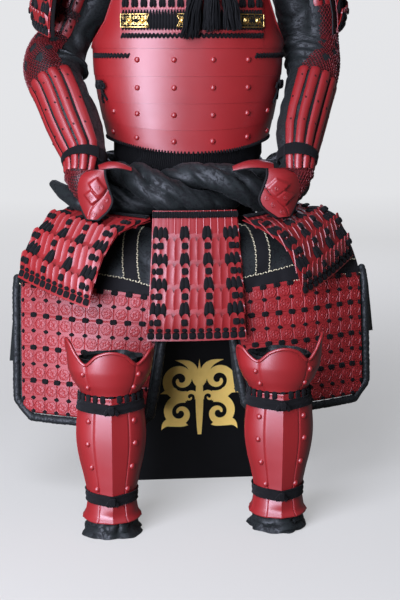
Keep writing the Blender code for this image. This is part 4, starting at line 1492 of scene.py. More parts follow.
@dataclass
class ChestLacing:
    """The laced lames of the chest, their gilt mounts and the black tassel."""

    half_width: float = 0.168
    pitch: float = 0.0212       # distance between the upper row's laces
    cord: float = 0.0070        # distance between the close-laced cords
    upper_level: float = 1.1690
    close_level: float = 1.1290
    plait_level: float = 1.0925
    side_level: float = 1.0455  # the short plaits beside the armholes
    stitch_run: float = 0.0047  # length that each lobe of a plait takes
    tassel_strands: int = 260
    # lower and upper edge of each narrow lame
    lames: tuple[tuple[float, float], ...] = ((1.1795, 1.1880), (1.1530, 1.1595),
                                              (1.1010, 1.1085))
    lame_out: float = 0.0034
    plate_wall: float = 0.0016
    lame_wall: float = 0.0014
    mount_span: tuple[float, float] = (1.1125, 1.1425)
    mount_out: float = 0.0075
    frame_wire: float = 0.0013  # radius of the wire round a mount
    vine_wire: float = 0.0009
    vine_step: float = 0.0085   # distance between the vines' curls

    def plate(self, shop: Workshop, cuirass: Cuirass) -> Object:
        """The narrower chest plate that the lacing crosses, with scalloped lames on it.

        Args:
            shop: the workshop.
            cuirass: the cuirass that it goes on.

        Returns:
            The plate with its lames.
        """
        parts = []
        heights = spread(1.0632, 1.224, 16)
        rows = []
        for height in heights:
            reach = min(0.172, read_at(cuirass.front_reach, height)[1] - 0.001)
            rows.append([cuirass.on_chest(distance, height, 0.0018)
                         for distance in spread(-reach, reach, 40)])
        parts.append(shell("chest_plate", rows, self.plate_wall, shop.finish.red))
        for low, high in self.lames:
            reach = min(self.half_width, read_at(cuirass.front_reach, high)[1] - 0.002)
            scales = round(2 * reach / self.cord)
            rows = []
            for share in (0.0, 0.5, 0.8, 1.0):
                row = []
                for step in range(scales * 6 + 1):
                    arc = sin(pi * (step % 6) / 6) ** 0.6
                    height = low + (high - low) * share * (0.62 + 0.38 * arc)
                    distance = reach * (2 * step / (scales * 6) - 1)
                    row.append(cuirass.on_chest(distance, height,
                                                self.lame_out - 0.0012 * share))
                rows.append(row)
            parts.append(shell("chest_lame", rows, self.lame_wall, shop.finish.red))
        return joined("chest_lames", parts)

    def cords(self, shop: Workshop, cuirass: Cuirass) -> Object:
        """Every lace of the chest: spaced laces above, close laces and a plait below.

        Args:
            shop: the workshop.
            cuirass: the cuirass that it goes on.

        Returns:
            The laces.
        """
        braid = shop.finish.braid
        surface = cuirass.on_chest
        parts = []
        count = round(2 * self.half_width / self.pitch)
        spots = []
        for step in range(count):
            distance = -self.half_width + self.pitch * (step + 0.45)
            for hand in (-1, 1):
                spots.append(spot_on(surface, distance + hand * 0.0036, self.upper_level,
                                     0.0020, hand * 0.05, (0.95, 0.68, 1.0)))
        parts.append(shop.strewer.strew("laces", shop.strand, spots, braid, 0.05, 3))
        spots = []
        count = round(2 * self.half_width / self.cord)
        for step in range(count):
            distance = -self.half_width + self.cord * (step + 0.5)
            spots.append(spot_on(surface, distance, self.close_level, 0.0020, 0.0,
                                 (0.84, 1.46, 1.0)))
        parts.append(shop.strewer.strew("close_laces", shop.strand, spots, braid, 0.02, 5))
        parts.append(self.plaited(shop, cuirass, "chest_plait", -self.half_width,
                                  self.half_width, self.plait_level, 0.0024))
        for hand in (-1, 1):
            parts.append(self.plaited(shop, cuirass, "side_plait", hand * 0.152,
                                      hand * 0.233, self.side_level, 0.0008))
        return joined("chest_cords", parts)

    def plaited(self, shop: Workshop, cuirass: Cuirass, name: str, start: float, end: float,
                height: float, out: float) -> Object:
        """A plait along the chest between two distances at one height.

        Args:
            shop: the workshop.
            cuirass: the cuirass that it goes on.
            name: name of the plait.
            start: distance from the middle where it starts.
            end: distance where it ends.
            height: its height.
            out: how far it stands off the chest.

        Returns:
            The plait.
        """
        first, last = cuirass.turn_at(height, start), cuirass.turn_at(height, end)
        length = (cuirass.surface(first, height, 0) - cuirass.surface(last, height, 0)).length
        count = round(length * 1.02 / self.stitch_run)
        spots = []
        for step in range(count):
            turn = first + (last - first) * (step + 0.5) / count
            lean = 0.55 if step % 2 else -0.55
            spots.append(spot_on(cuirass.surface, turn, height, out, lean))
        return shop.strewer.strew(name, shop.plait, spots, shop.finish.braid, 0.06, 7)

    def mount(self, shop: Workshop, cuirass: Cuirass, start: float, end: float,
              tails: tuple[float, float], name: str) -> Object:
        """A pierced gilt mount with a raised frame, curling vines and round bosses.

        Args:
            shop: the workshop.
            cuirass: what it lies on.
            start: its left edge's distance from the middle.
            end: its right edge's distance.
            tails: depth of the swallow tail cut in its left and right edges.
            name: name of the piece.

        Returns:
            The mount.
        """
        low, high = self.mount_span
        out = self.mount_out
        middle = (low + high) / 2
        outline = []
        corners = ((start, low), (end, low), (end - tails[1], middle), (end, high),
                   (start, high), (start + tails[0], middle))
        for (x, z), (next_x, next_z) in zip(corners, corners[1:] + corners[:1]):
            for share in spread(0, 1, 6)[:-1]:
                outline.append(cuirass.on_chest(x + (next_x - x) * share,
                                                z + (next_z - z) * share, out))
        gilt = shop.finish.gilt
        parts = [shop.corder.run("frame", [outline], self.frame_wire, gilt, 6, closed=True)]
        paths = []
        width = end - start
        for number in range(max(2, round(width / self.vine_step))):
            for level, spin in ((middle - 0.0068, 1), (middle + 0.0068, -1)):
                centre = start + 0.0065 + self.vine_step * number
                if centre > end - 0.004:
                    continue
                hand = spin if number % 2 else -spin
                curl = []
                for share in spread(0, 1, 14):
                    radius = 0.0046 * (1 - 0.75 * share)
                    angle = pi / 2 * hand + hand * 9.0 * share
                    curl.append(cuirass.on_chest(centre + radius * cos(angle),
                                                 level + radius * sin(angle),
                                                 out - 0.0004))
                paths.append(curl)
        parts.append(shop.corder.run("vines", paths, self.vine_wire, gilt, 5))
        boss = bpy.data.objects.new("boss", revolve("boss", (
            (0.0072, -0.0012), (0.0074, 0.0006), (0.0060, 0.0016), (0.0052, 0.0012),
            (0.0040, 0.0030), (0.0018, 0.0040), (0.0001, 0.0042)), 16))
        for index, vertex in enumerate(boss.data.vertices):
            if index < 64:
                turn = math.atan2(vertex.co.y, vertex.co.x)
                vertex.co.xy *= 1 + 0.07 * cos(8 * turn)
        spots = [spot_on(cuirass.on_chest, start + width * share, middle, out)
                 for share in ((0.30, 0.76) if width > 0.05 else (0.5,))]
        parts.append(shop.strewer.strew("bosses", boss, spots, gilt))
        return joined(name, parts)

    def tassel(self, shop: Workshop) -> Object:
        """The big tassel: bundles of silk strands that fall from a cord and spread.

        Args:
            shop: the workshop.

        Returns:
            The tassel.
        """
        paths = []
        for number in range(self.tassel_strands):
            chance = noise.random_unit_vector()
            bundle = number % 3
            top = Vector((0.042 + 0.006 * (bundle - 1), -0.182, 1.236))
            aim = (-0.012, 0.040, 0.092)[bundle]
            fall = (1.092, 1.108, 1.112)[bundle] + 0.010 * chance.z
            foot = Vector((aim + 0.021 * chance.x, -0.186 + 0.010 * chance.y, fall))
            bow = Vector((0.012 * (bundle - 1) + 0.006 * chance.x,
                          -0.008 + 0.008 * chance.y, 0))
            path = []
            for share in spread(0, 1, 7):
                point = top.lerp(foot, share)
                point += bow * sin(pi * min(1.0, share * 1.1))
                point.x += 0.0022 * sin(9 * share + 20 * chance.z) * share
                path.append(point)
            paths.append(path)
        return shop.corder.run("chest_tassel_silk", paths,
                               lambda share: 0.0019 - 0.0009 * share, shop.finish.hair, 4)

    def build(self, shop: Workshop, cuirass: Cuirass) -> None:
        """Build the chest's plates, laces, mounts and tassel.

        Args:
            shop: the workshop.
            cuirass: the cuirass that it goes on.
        """
        noise.seed_set(11)
        shop.hand_over(self.plate(shop, cuirass), "red_lacquer")
        shop.hand_over(self.cords(shop, cuirass), "black_braid", "chest_lacing")
        for side, start, end, tails in ((Side.RIGHT, -0.168, -0.104, (0.0, 0.006)),
                                        (Side.LEFT, 0.106, 0.168, (0.006, 0.0))):
            mount = self.mount(shop, cuirass, start, end, tails, f"gilt_mount_{side.label}")
            shop.hand_over(mount, "gilt_metal", f"chest_mount_{side.label}")
        middle = self.mount(shop, cuirass, -0.040, -0.016, (0.006, 0.006), "gilt_mount_middle")
        shop.hand_over(middle, "gilt_metal")
        shop.hand_over(self.tassel(shop), "black_braid", "chest_tassel")


# ------------------------------------------------------------------ waist
WAIST_SECTIONS = ((0.655, 0.182, 0.137, 0.137), (0.700, 0.173, 0.129, 0.129),
                  (0.760, 0.173, 0.129, 0.129), (0.800, 0.188, 0.142, 0.134),
                  (0.838, 0.188, 0.142, 0.134))


@dataclass
class WaistLacing:
    """The curtain of close black cords that hangs the skirt from the cuirass."""

    cords: int = 216
    swell: float = 0.0016       # how far each cord stands out
    span: tuple[float, float] = (0.656, 0.838)
    wall: float = 0.0022
    band_span: tuple[float, float] = (0.585, 0.650)
    tuck: float = 0.008         # how far the waistband lies inside the curtain

    def surface(self, turn: float, height: float, out: float) -> Vector:
        """A point on the curtain."""
        return oval_at(WAIST_SECTIONS, turn, height, out)

    def build(self, shop: Workshop) -> None:
        """Build the corded curtain and the apron's waistband under it.

        Args:
            shop: the workshop.
        """
        turns = around(self.cords * 3)

        def relief(turn: float, height: float) -> float:
            """Height of the cords at a place.

            Args:
                turn: angle from the front, towards +X.
                height: height above the floor.

            Returns:
                The height of the cords there.
            """
            round_cord = abs(sin(turn * self.cords / 2)) ** 0.7
            sway = noise.noise(Vector((turn * 7, height * 12, 4.0)))
            return self.swell * (round_cord - 1) + 0.0012 * sway

        rows = lay_rows(self.surface, turns, spread(*self.span, 5), relief)
        curtain = shell("skirt_cords", rows, self.wall, shop.finish.braid, closed=True)
        shop.hand_over(curtain, "black_braid", "suspension_lacing")

        def band(turn: float, height: float, out: float) -> Vector:
            """A point on the apron's waistband."""
            return oval((height, *WAIST_SECTIONS[0][1:]), turn, out - self.tuck)

        turns = around(96)
        rows = lay_rows(band, turns, spread(*self.band_span, 6),
                        lambda turn, height: 0.0006 * noise.noise(
                            Vector((turn * 9, height * 60, 1.0))))
        belt = shell("apron_waistband", rows, CLOTH, shop.finish.tape, closed=True)
        shop.hand_over(belt, "black_brocade", "haidate_waistband")
        ring = rows[len(rows) // 2]
        distances(ring + ring[:1])[-1]


@dataclass
class TwistedBelt:
    """The thick brocade belt: two stuffed strands twisted round each other."""

    height: float = 0.730
    half_width: float = 0.2455
    depth: float = 0.2015
    strand: float = 0.0345
    twist: float = 0.0358
    turns: int = -4
    phase: float = -1.2
    press: float = 1.20         # how much wider a strand is where the two meet
    cleft: float = 0.015        # depth of the long fold down the outside of each strand
    steps: int = 320
    sides: int = 34
    weld: float = 0.0004        # how near the two ends' points are when they become one
    tail_steps: int = 40
    tail_radius: float = 0.0205

    def middle(self, turn: float, phase: float) -> Vector:
        """A point on the middle line of the strand with this phase.

        Args:
            turn: how far round the waist.
            phase: which strand.

        Returns:
            The point.
        """
        roll = self.turns * turn + phase
        centre = oval((self.height, self.half_width, self.depth, self.depth), turn,
                      self.twist * cos(roll))
        return centre + Vector((0, 0, self.twist * sin(roll)))

    def radius(self, length: float, turn: float, seed: float) -> float:
        """The strand's radius, with its long slanting creases and its billows.

        Args:
            length: how far along the strand.
            turn: angle round the strand.
            seed: sets the two strands apart.

        Returns:
            The radius.
        """
        slant = turn + length * 15
        place = Vector((cos(slant) * 0.034, sin(slant) * 0.034,
                        length * 0.34)) + Vector((seed, seed * 0.7, seed * 0.3))
        fold = crumple(place, 0.034, 0.0056, 0.15)
        fine = crumple(place * 1.9 + Vector((3, 1, 2)), 0.022, 0.0016, 0.2)
        return self.strand - 0.0016 + fold + fine

    def ring(self, turn: float, phase: float, radius: Callable[[float], float]
             ) -> list[Vector]:
        """A ring round a strand, pressed wide where the strands meet and folded outside.

        Args:
            turn: how far round the waist it lies.
            phase: which strand.
            radius: the strand's radius at an angle from its outer side.

        Returns:
            The ring's points.
        """
        centre = self.middle(turn, phase)
        ahead = (self.middle(turn + 0.01, phase) - self.middle(turn - 0.01, phase)).normalized()
        rope = oval((self.height, self.half_width, self.depth, self.depth), turn, 0.0)
        outward = (centre - rope).normalized()
        outward = (outward - ahead * outward.dot(ahead)).normalized()
        aside = outward.cross(ahead)
        drift = 0.55 * noise.noise(centre * 11)
        points = []
        for angle in (math.remainder(turned, tau) for turned in around(self.sides)):
            sunk = self.cleft * exp(-abs((angle - drift) / 0.26) ** 1.4)
            spoke = outward * cos(angle) + aside * sin(angle) * self.press
            points.append(centre + spoke * (radius(angle) - sunk))
        return points

    def build(self, shop: Workshop) -> None:
        """Build both strands and the belt's end.

        Args:
            shop: the workshop.
        """
        for name, phase in (("upper", self.phase), ("lower", self.phase + pi)):
            turns = [pi + turn for turn in around(self.steps)]
            path = [self.middle(turn, phase) for turn in turns]
            length = distances(path + path[:1])[-1]
            rings = []
            for step, turn in enumerate(turns):
                share = step / self.steps
                ease = smooth((share - 0.93) / 0.07)

                def radius(angle: float, share: float = share, ease: float = ease) -> float:
                    """Radius at an angle, eased so that the strand's ends meet.

                    Args:
                        angle: angle round the strand.
                        share: how far along it, from 0 to 1.
                        ease: how far it is led over to the other end's shape.

                    Returns:
                        The radius.
                    """
                    near = self.radius(length * share, angle, phase)
                    return near + (self.radius(length * (share - 1), angle, phase)
                                   - near) * ease

                rings.append(self.ring(turn, phase, radius))
            body = new_object(f"belt_{name}", grid_mesh(name, rings + rings[:1], closed=True))
            weld = body.modifiers.new("Weld", "WELD")
            weld.merge_threshold = self.weld
            settle(body, shop.finish.brocade, 80.0)
            shop.hand_over(body, "black_brocade", f"belt_strand_{name}")
        self.build_tail(shop)

    def build_tail(self, shop: Workshop) -> None:
        """Build the belt's end, a limp stuffed tail that narrows to its tip.

        Args:
            shop: the workshop.
        """
        stations = ((-0.272, -0.176, 0.696), (-0.286, -0.160, 0.703), (-0.299, -0.142, 0.710),
                    (-0.314, -0.118, 0.718), (-0.328, -0.092, 0.726), (-0.338, -0.066, 0.732))
        path = [Vector(flow(stations, place)) for place in spread(0, 5, self.tail_steps)]

        def radius(index: int, turn: float) -> float:
            """Radius of the tail, flatter and narrower towards its tip.

            Args:
                index: number of the point on the path.
                turn: angle round the tail.

            Returns:
                The radius.
            """
            share = index / self.tail_steps
            place = Vector((cos(turn) * 0.02, sin(turn) * 0.02, share * 0.05))
            flat = 1 - 0.22 * abs(cos(turn)) * smooth((share - 0.4) / 0.6)
            return (self.tail_radius - 0.006 * smooth((share - 0.55) / 0.45)) * flat + crumple(
                place, 0.018, 0.0022)

        rings = capped(tube_rows(path, radius, 24))
        tail = settle(new_object("belt_end", grid_mesh("belt_end", rings, closed=True)),
                      shop.finish.brocade, 80.0)
        shop.hand_over(tail, "black_brocade", "belt_tail")


# ------------------------------------------------------------------ laced panels
# a station at each edge of a lame: reach, height, lift of its raised end, half width,
# lean to the viewer's right
FRONT_DRAPE = (
    (0.122, 0.684, 0.0, 0.101, 0.0), (0.152, 0.618, 0.0, 0.104, -0.001),
    (0.186, 0.563, 0.0, 0.107, -0.003), (0.216, 0.512, 0.0, 0.110, -0.005),
    (0.236, 0.457, 0.0, 0.113, -0.007), (0.250, 0.402, 0.0, 0.116, -0.009))
RIGHT_THIGH_DRAPE = (
    (0.102, 0.662, 0.000, 0.101, 0.000), (0.150, 0.656, 0.018, 0.104, -0.006),
    (0.204, 0.645, 0.029, 0.107, -0.013), (0.254, 0.601, 0.037, 0.110, -0.015),
    (0.294, 0.543, 0.048, 0.113, -0.012), (0.314, 0.486, 0.046, 0.116, -0.016))
LEFT_THIGH_DRAPE = (
    (0.102, 0.662, 0.000, 0.101, -0.004), (0.150, 0.652, 0.018, 0.104, -0.012),
    (0.204, 0.634, 0.034, 0.107, -0.017), (0.240, 0.606, 0.043, 0.110, -0.011),
    (0.271, 0.558, 0.046, 0.113, -0.015), (0.289, 0.504, 0.048, 0.116, -0.015))
HIP_DRAPE = (
    (0.110, 0.655, 0.0, 0.090, 0.0), (0.142, 0.606, 0.0, 0.094, 0.0),
    (0.158, 0.550, 0.0, 0.098, 0.0), (0.168, 0.492, 0.0, 0.101, 0.0),
    (0.176, 0.435, 0.0, 0.104, 0.0), (0.182, 0.378, 0.0, 0.107, 0.0))
SODE_DRAPE = (
    (0.240, 1.286, 0.030, 0.105, 0.0), (0.302, 1.272, 0.036, 0.108, 0.0),
    (0.349, 1.236, 0.040, 0.111, 0.0), (0.371, 1.188, 0.042, 0.114, 0.0),
    (0.379, 1.138, 0.044, 0.116, 0.0), (0.382, 1.088, 0.046, 0.118, 0.0))


# how far a lame's face stands out, at equal steps from its tucked base to its head
LAME_SWELL = ((-0.0058,), (-0.0022,), (0.0018,), (0.0050,), (0.0068,))


@dataclass(frozen=True)
class LacedPanel:
    """A hanging panel of five lames: a skirt panel or a shoulder guard.

    Each lame is a row of narrow scales with rounded heads, which overlaps the lame above
    it and is laced to it with flat black silk braid.
    """

    node: str
    anchor: tuple[float, float, float]
    outward: Vector
    across: Vector
    stations: tuple[tuple[float, ...], ...]
    bow: float
    lift_scale: float = 0.0
    lift_side: int = 1
    lining: float = 0.0         # how far the cloth lining shows past the front edge
    scales: int = 12
    head: float = 0.0060        # how far a scale's head stands above its lame
    wall: float = 0.0026
    backing_wall: float = 0.0014
    row_level: float = 0.765    # share of a lame's height where its row of knots lies
    last_level: float = 0.74    # the same on the lowest lame

    @classmethod
    def skirt(cls, name: str, x: float, y: float, degrees: float,
              stations: tuple[tuple[float, ...], ...], lift: float = 0.0) -> "LacedPanel":
        """A skirt panel that hangs from the waist and faces this many degrees from the front.

        Args:
            name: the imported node.
            x: where it hangs from.
            y: where it hangs from.
            degrees: the way it faces.
            stations: its drape.
            lift: how much of the drape's lift it has.

        Returns:
            The panel.
        """
        turn = radians(degrees)
        return cls(name, (x, y, 0.0), Vector((sin(turn), -cos(turn), 0)),
                   Vector((cos(turn), sin(turn), 0)), stations, 0.008, lift,
                   1 if degrees > 0 else -1)

    @classmethod
    def shoulder(cls, side: Side, aside: float, above: float, lining: float) -> "LacedPanel":
        """A shoulder guard that hangs outside the upper arm.

        Args:
            side: which side of the wearer.
            aside: how far it is set outwards.
            above: how far it is set up.
            lining: how far its lining shows.

        Returns:
            The panel.
        """
        turn, sign = radians(82), side.value
        return cls(f"sode_{side.label}", (sign * aside, 0.020, above),
                   Vector((sign * sin(turn), -cos(turn), 0)),
                   Vector((cos(turn), sign * sin(turn), 0)), SODE_DRAPE, 0.022,
                   1.0, sign, lining)

    def back(self, station: float, across: float) -> Vector:
        """A point on the panel's back; across runs from -1 to 1 to the viewer's right.

        Args:
            station: place down the drape.
            across: place across.

        Returns:
            The point.
        """
        index = min(int(station), len(self.stations) - 2)
        share = station - index
        low, high = self.stations[index], self.stations[index + 1]
        reach, height, lift, half, lean = (a + (b - a) * share for a, b in zip(low, high))
        raised = lift * self.lift_scale * (1 + across * self.lift_side) / 2
        point = Vector(self.anchor) + self.outward * (reach - self.bow * across * across)
        return point + self.across * (across * half + lean) + Vector((0, 0, height + raised))

    def point(self, across: float, up: float, out: float, lame: int) -> Vector:
        """A point on the front of one lame; up runs from 0 at its base to 1 at its top.

        Args:
            across: place across, from -1 to 1.
            up: place up the lame.
            out: distance off its front.
            lame: number of the lame from the top.

        Returns:
            The point.
        """
        upper, lower = self.stations[lame], self.stations[lame + 1]
        run = Vector((lower[0] - upper[0], lower[1] - upper[1])).normalized()
        away = self.outward * -run.y + Vector((0, 0, run.x))
        top, base = self.back(lame, across), self.back(lame + 1, across)
        return base + (top - base) * up + away * (PLATE + PANEL_STEP * up + out)

    def length(self, lame: int) -> float:
        """Height of a lame along its slope."""
        return (self.back(lame, 0) - self.back(lame + 1, 0)).length

    def swell(self, level: float) -> float:
        """How far a lame's face stands out at a share of its height."""
        return flow(LAME_SWELL, 4 * level)[0]

    def lame(self, number: int, finish: Material) -> Object:
        """One lame of ribbed, round-headed scales.

        Args:
            number: number of the lame from the top.
            finish: its material.

        Returns:
            The lame.
        """
        last = number == len(self.stations) - 2
        head = self.head / self.length(number) if number else 0.0
        profile = ((-0.5, -0.0002), (-0.46, 0.0009), (-0.40, 0.0013), (-0.32, 0.0009),
                   (-0.02, 0.0006), (0.32, 0.0003))
        levels = (0.0, 0.08, 0.18, 0.30, 0.40, 0.52, 0.70, 0.90, 0.975, 1.0)
        rows = []
        for level in levels:
            row = []
            for scale in range(self.scales):
                for place, rise in profile:
                    across = 2 * (scale + 0.5 + place) / self.scales - 1
                    crest = 1 - abs(2 * place - 0.16) ** 2.4 if place > -0.49 else 0.0
                    up = level * (1 + head * (1.6 * crest - 0.6))
                    ribbed = smooth((level - 0.40) / 0.12) if last else 1.0
                    lip = 0.0012 * (1 - smooth(abs(level - 0.06) / 0.06)) if last else 0.0
                    row.append(self.point(across, up, rise * ribbed + lip
                                          + self.swell(level) - 0.0010, number))
            row.append(self.point(1.0, level * (1 - 0.6 * head), 0.0, number))
            rows.append(row)
        return shell("lame", rows, self.wall, finish, sharp=24.0)

    def spots(self, number: int) -> dict[str, list[Spot]]:
        """Where the knots, beads and cords of a lame lie.

        Args:
            number: number of the lame from the top.

        Returns:
            The spots of each kind of unit.
        """
        last = number == len(self.stations) - 2
        found = {"knot": [], "bead": [], "strand": []}

        def surface(across: float, up: float, out: float) -> Vector:
            """A point on the front of this lame."""
            return self.point(across, up, out, number)

        def put(kind: str, across: float, up: float, size: float = 1.0,
                tall: float = 1.0, roll: float = 0.0) -> None:
            """Add one unit."""
            found[kind].append(spot_on(surface, across, up, 0.0004 + self.swell(up), roll,
                                       (size, tall, 1.0), 0.02))

        if number:
            level = self.last_level if last else self.row_level
            for across in (-0.26, 0.25):
                put("knot", across, level, 1.06, 1.16)
            for hand in (-1, 1):
                put("knot", hand * 0.806, level, 1.12, 1.16)
                put("bead", hand * 0.927, level - 0.01, 1.0, 1.4)
        if not last:
            for hand in (-1, 1):
                for step, across in enumerate((0.91, 0.80, 0.69)):
                    put("strand", hand * across, 0.27 - 0.02 * step, 1.40, 1.12, hand * 0.03)
                for offset in (-0.045, 0.045):
                    centre = 0.25 if hand > 0 else -0.26
                    put("strand", centre + offset, 0.27, 1.34, 1.14, 2.0 * offset)
        else:
            for column in range(self.scales):
                across = (2 * column + 1) / self.scales - 1
                put("bead", across, 0.425, 1.30, 0.90)
                put("knot", across, 0.205, 1.14, 1.14)
        if number == 0:
            count = self.scales * 3
            for column in range(count):
                put("knot", (2 * column + 1) / count - 1, 0.86, 0.43, 1.16)
        return found

    def backing(self, shop: Workshop) -> list[Object]:
        """The plain red back of the panel, and its cloth lining if it shows.

        Args:
            shop: the workshop.

        Returns:
            The back, and the lining if there is one.
        """
        stations = spread(0.0, len(self.stations) - 1.0, 10)
        rows = [[self.back(station, across) for across in spread(-0.995, 0.995, 10)]
                for station in reversed(stations)]
        parts = [shell("backing", rows, -self.backing_wall, shop.finish.red)]
        if self.lining:
            front = -self.lift_side
            low, high = sorted((-front, front * (1.0 + self.lining / self.stations[-1][3])))
            rows = []
            for station in reversed(stations):
                row = []
                for share in spread(low, high, 24):
                    sway = 0.0024 * noise.noise(Vector((share * 3, station * 0.9, 2.0)))
                    row.append(self.back(station, share) - self.outward * (0.0026 - sway))
                rows.append(row)
            parts.append(shell("lining", rows, self.wall, shop.finish.leather))
        return parts

    def build(self, shop: Workshop) -> None:
        """Build the panel's lames, lining and lacing.

        Args:
            shop: the workshop.
        """
        parts = self.backing(shop)
        units = {"knot": [], "bead": [], "strand": []}
        for number in range(len(self.stations) - 1):
            parts.append(self.lame(number, shop.finish.red))
            for kind, spots in self.spots(number).items():
                units[kind] += spots
        plates = joined(f"{self.node}_lames", parts)
        shop.hand_over(plates, "red_lacquer", self.node)
        laces = [shop.strewer.strew(kind, getattr(shop, kind), spots, shop.finish.braid,
                                    0.05, 9) for kind, spots in units.items()]
        shop.hand_over(joined(f"{self.node}_lacing", laces), "black_braid")


@dataclass(frozen=True)
class SkirtAndGuards:
    """The seven skirt panels and the two shoulder guards."""

    panels: tuple[LacedPanel, ...] = (
        LacedPanel.skirt("tasset_front", -0.006, -0.140, 0, FRONT_DRAPE),
        LacedPanel.skirt("tasset_front_right", -0.116, -0.120, -45, RIGHT_THIGH_DRAPE,
                         1.0),
        LacedPanel.skirt("tasset_front_left", 0.104, -0.120, 49, LEFT_THIGH_DRAPE,
                         1.3),
        LacedPanel.skirt("tasset_side_right", -0.178, 0.045, -98, HIP_DRAPE),
        LacedPanel.skirt("tasset_side_left", 0.178, 0.045, 98, HIP_DRAPE),
        LacedPanel.skirt("tasset_back_right", -0.092, 0.128, -169, HIP_DRAPE),
        LacedPanel.skirt("tasset_back_left", 0.092, 0.128, 169, HIP_DRAPE),
        LacedPanel.shoulder(Side.RIGHT, 0.0, 0.0, 0.011),
        LacedPanel.shoulder(Side.LEFT, 0.010, 0.010, 0.022))

    def build(self, shop: Workshop) -> None:
        """Build every panel."""
        for panel in self.panels:
            panel.build(shop)


# ------------------------------------------------------------------ thigh apron
# a row for each level of the left half: inner edge, outer edge and crown
APRON_ROWS = (
    (0.012, -0.196, 0.625, 0.262, -0.085, 0.640, 0.004),
    (0.030, -0.238, 0.622, 0.305, -0.080, 0.652, 0.010),
    (0.050, -0.275, 0.598, 0.358, -0.085, 0.640, 0.022),
    (0.068, -0.310, 0.558, 0.398, -0.145, 0.598, 0.032),
    (0.082, -0.338, 0.506, 0.412, -0.222, 0.526, 0.026),
    (0.088, -0.348, 0.450, 0.414, -0.240, 0.462, 0.022),
    (0.098, -0.358, 0.380, 0.415, -0.254, 0.386, 0.020),
    (0.112, -0.367, 0.300, 0.416, -0.266, 0.303, 0.018),
    (0.125, -0.375, 0.235, 0.416, -0.275, 0.237, 0.016))


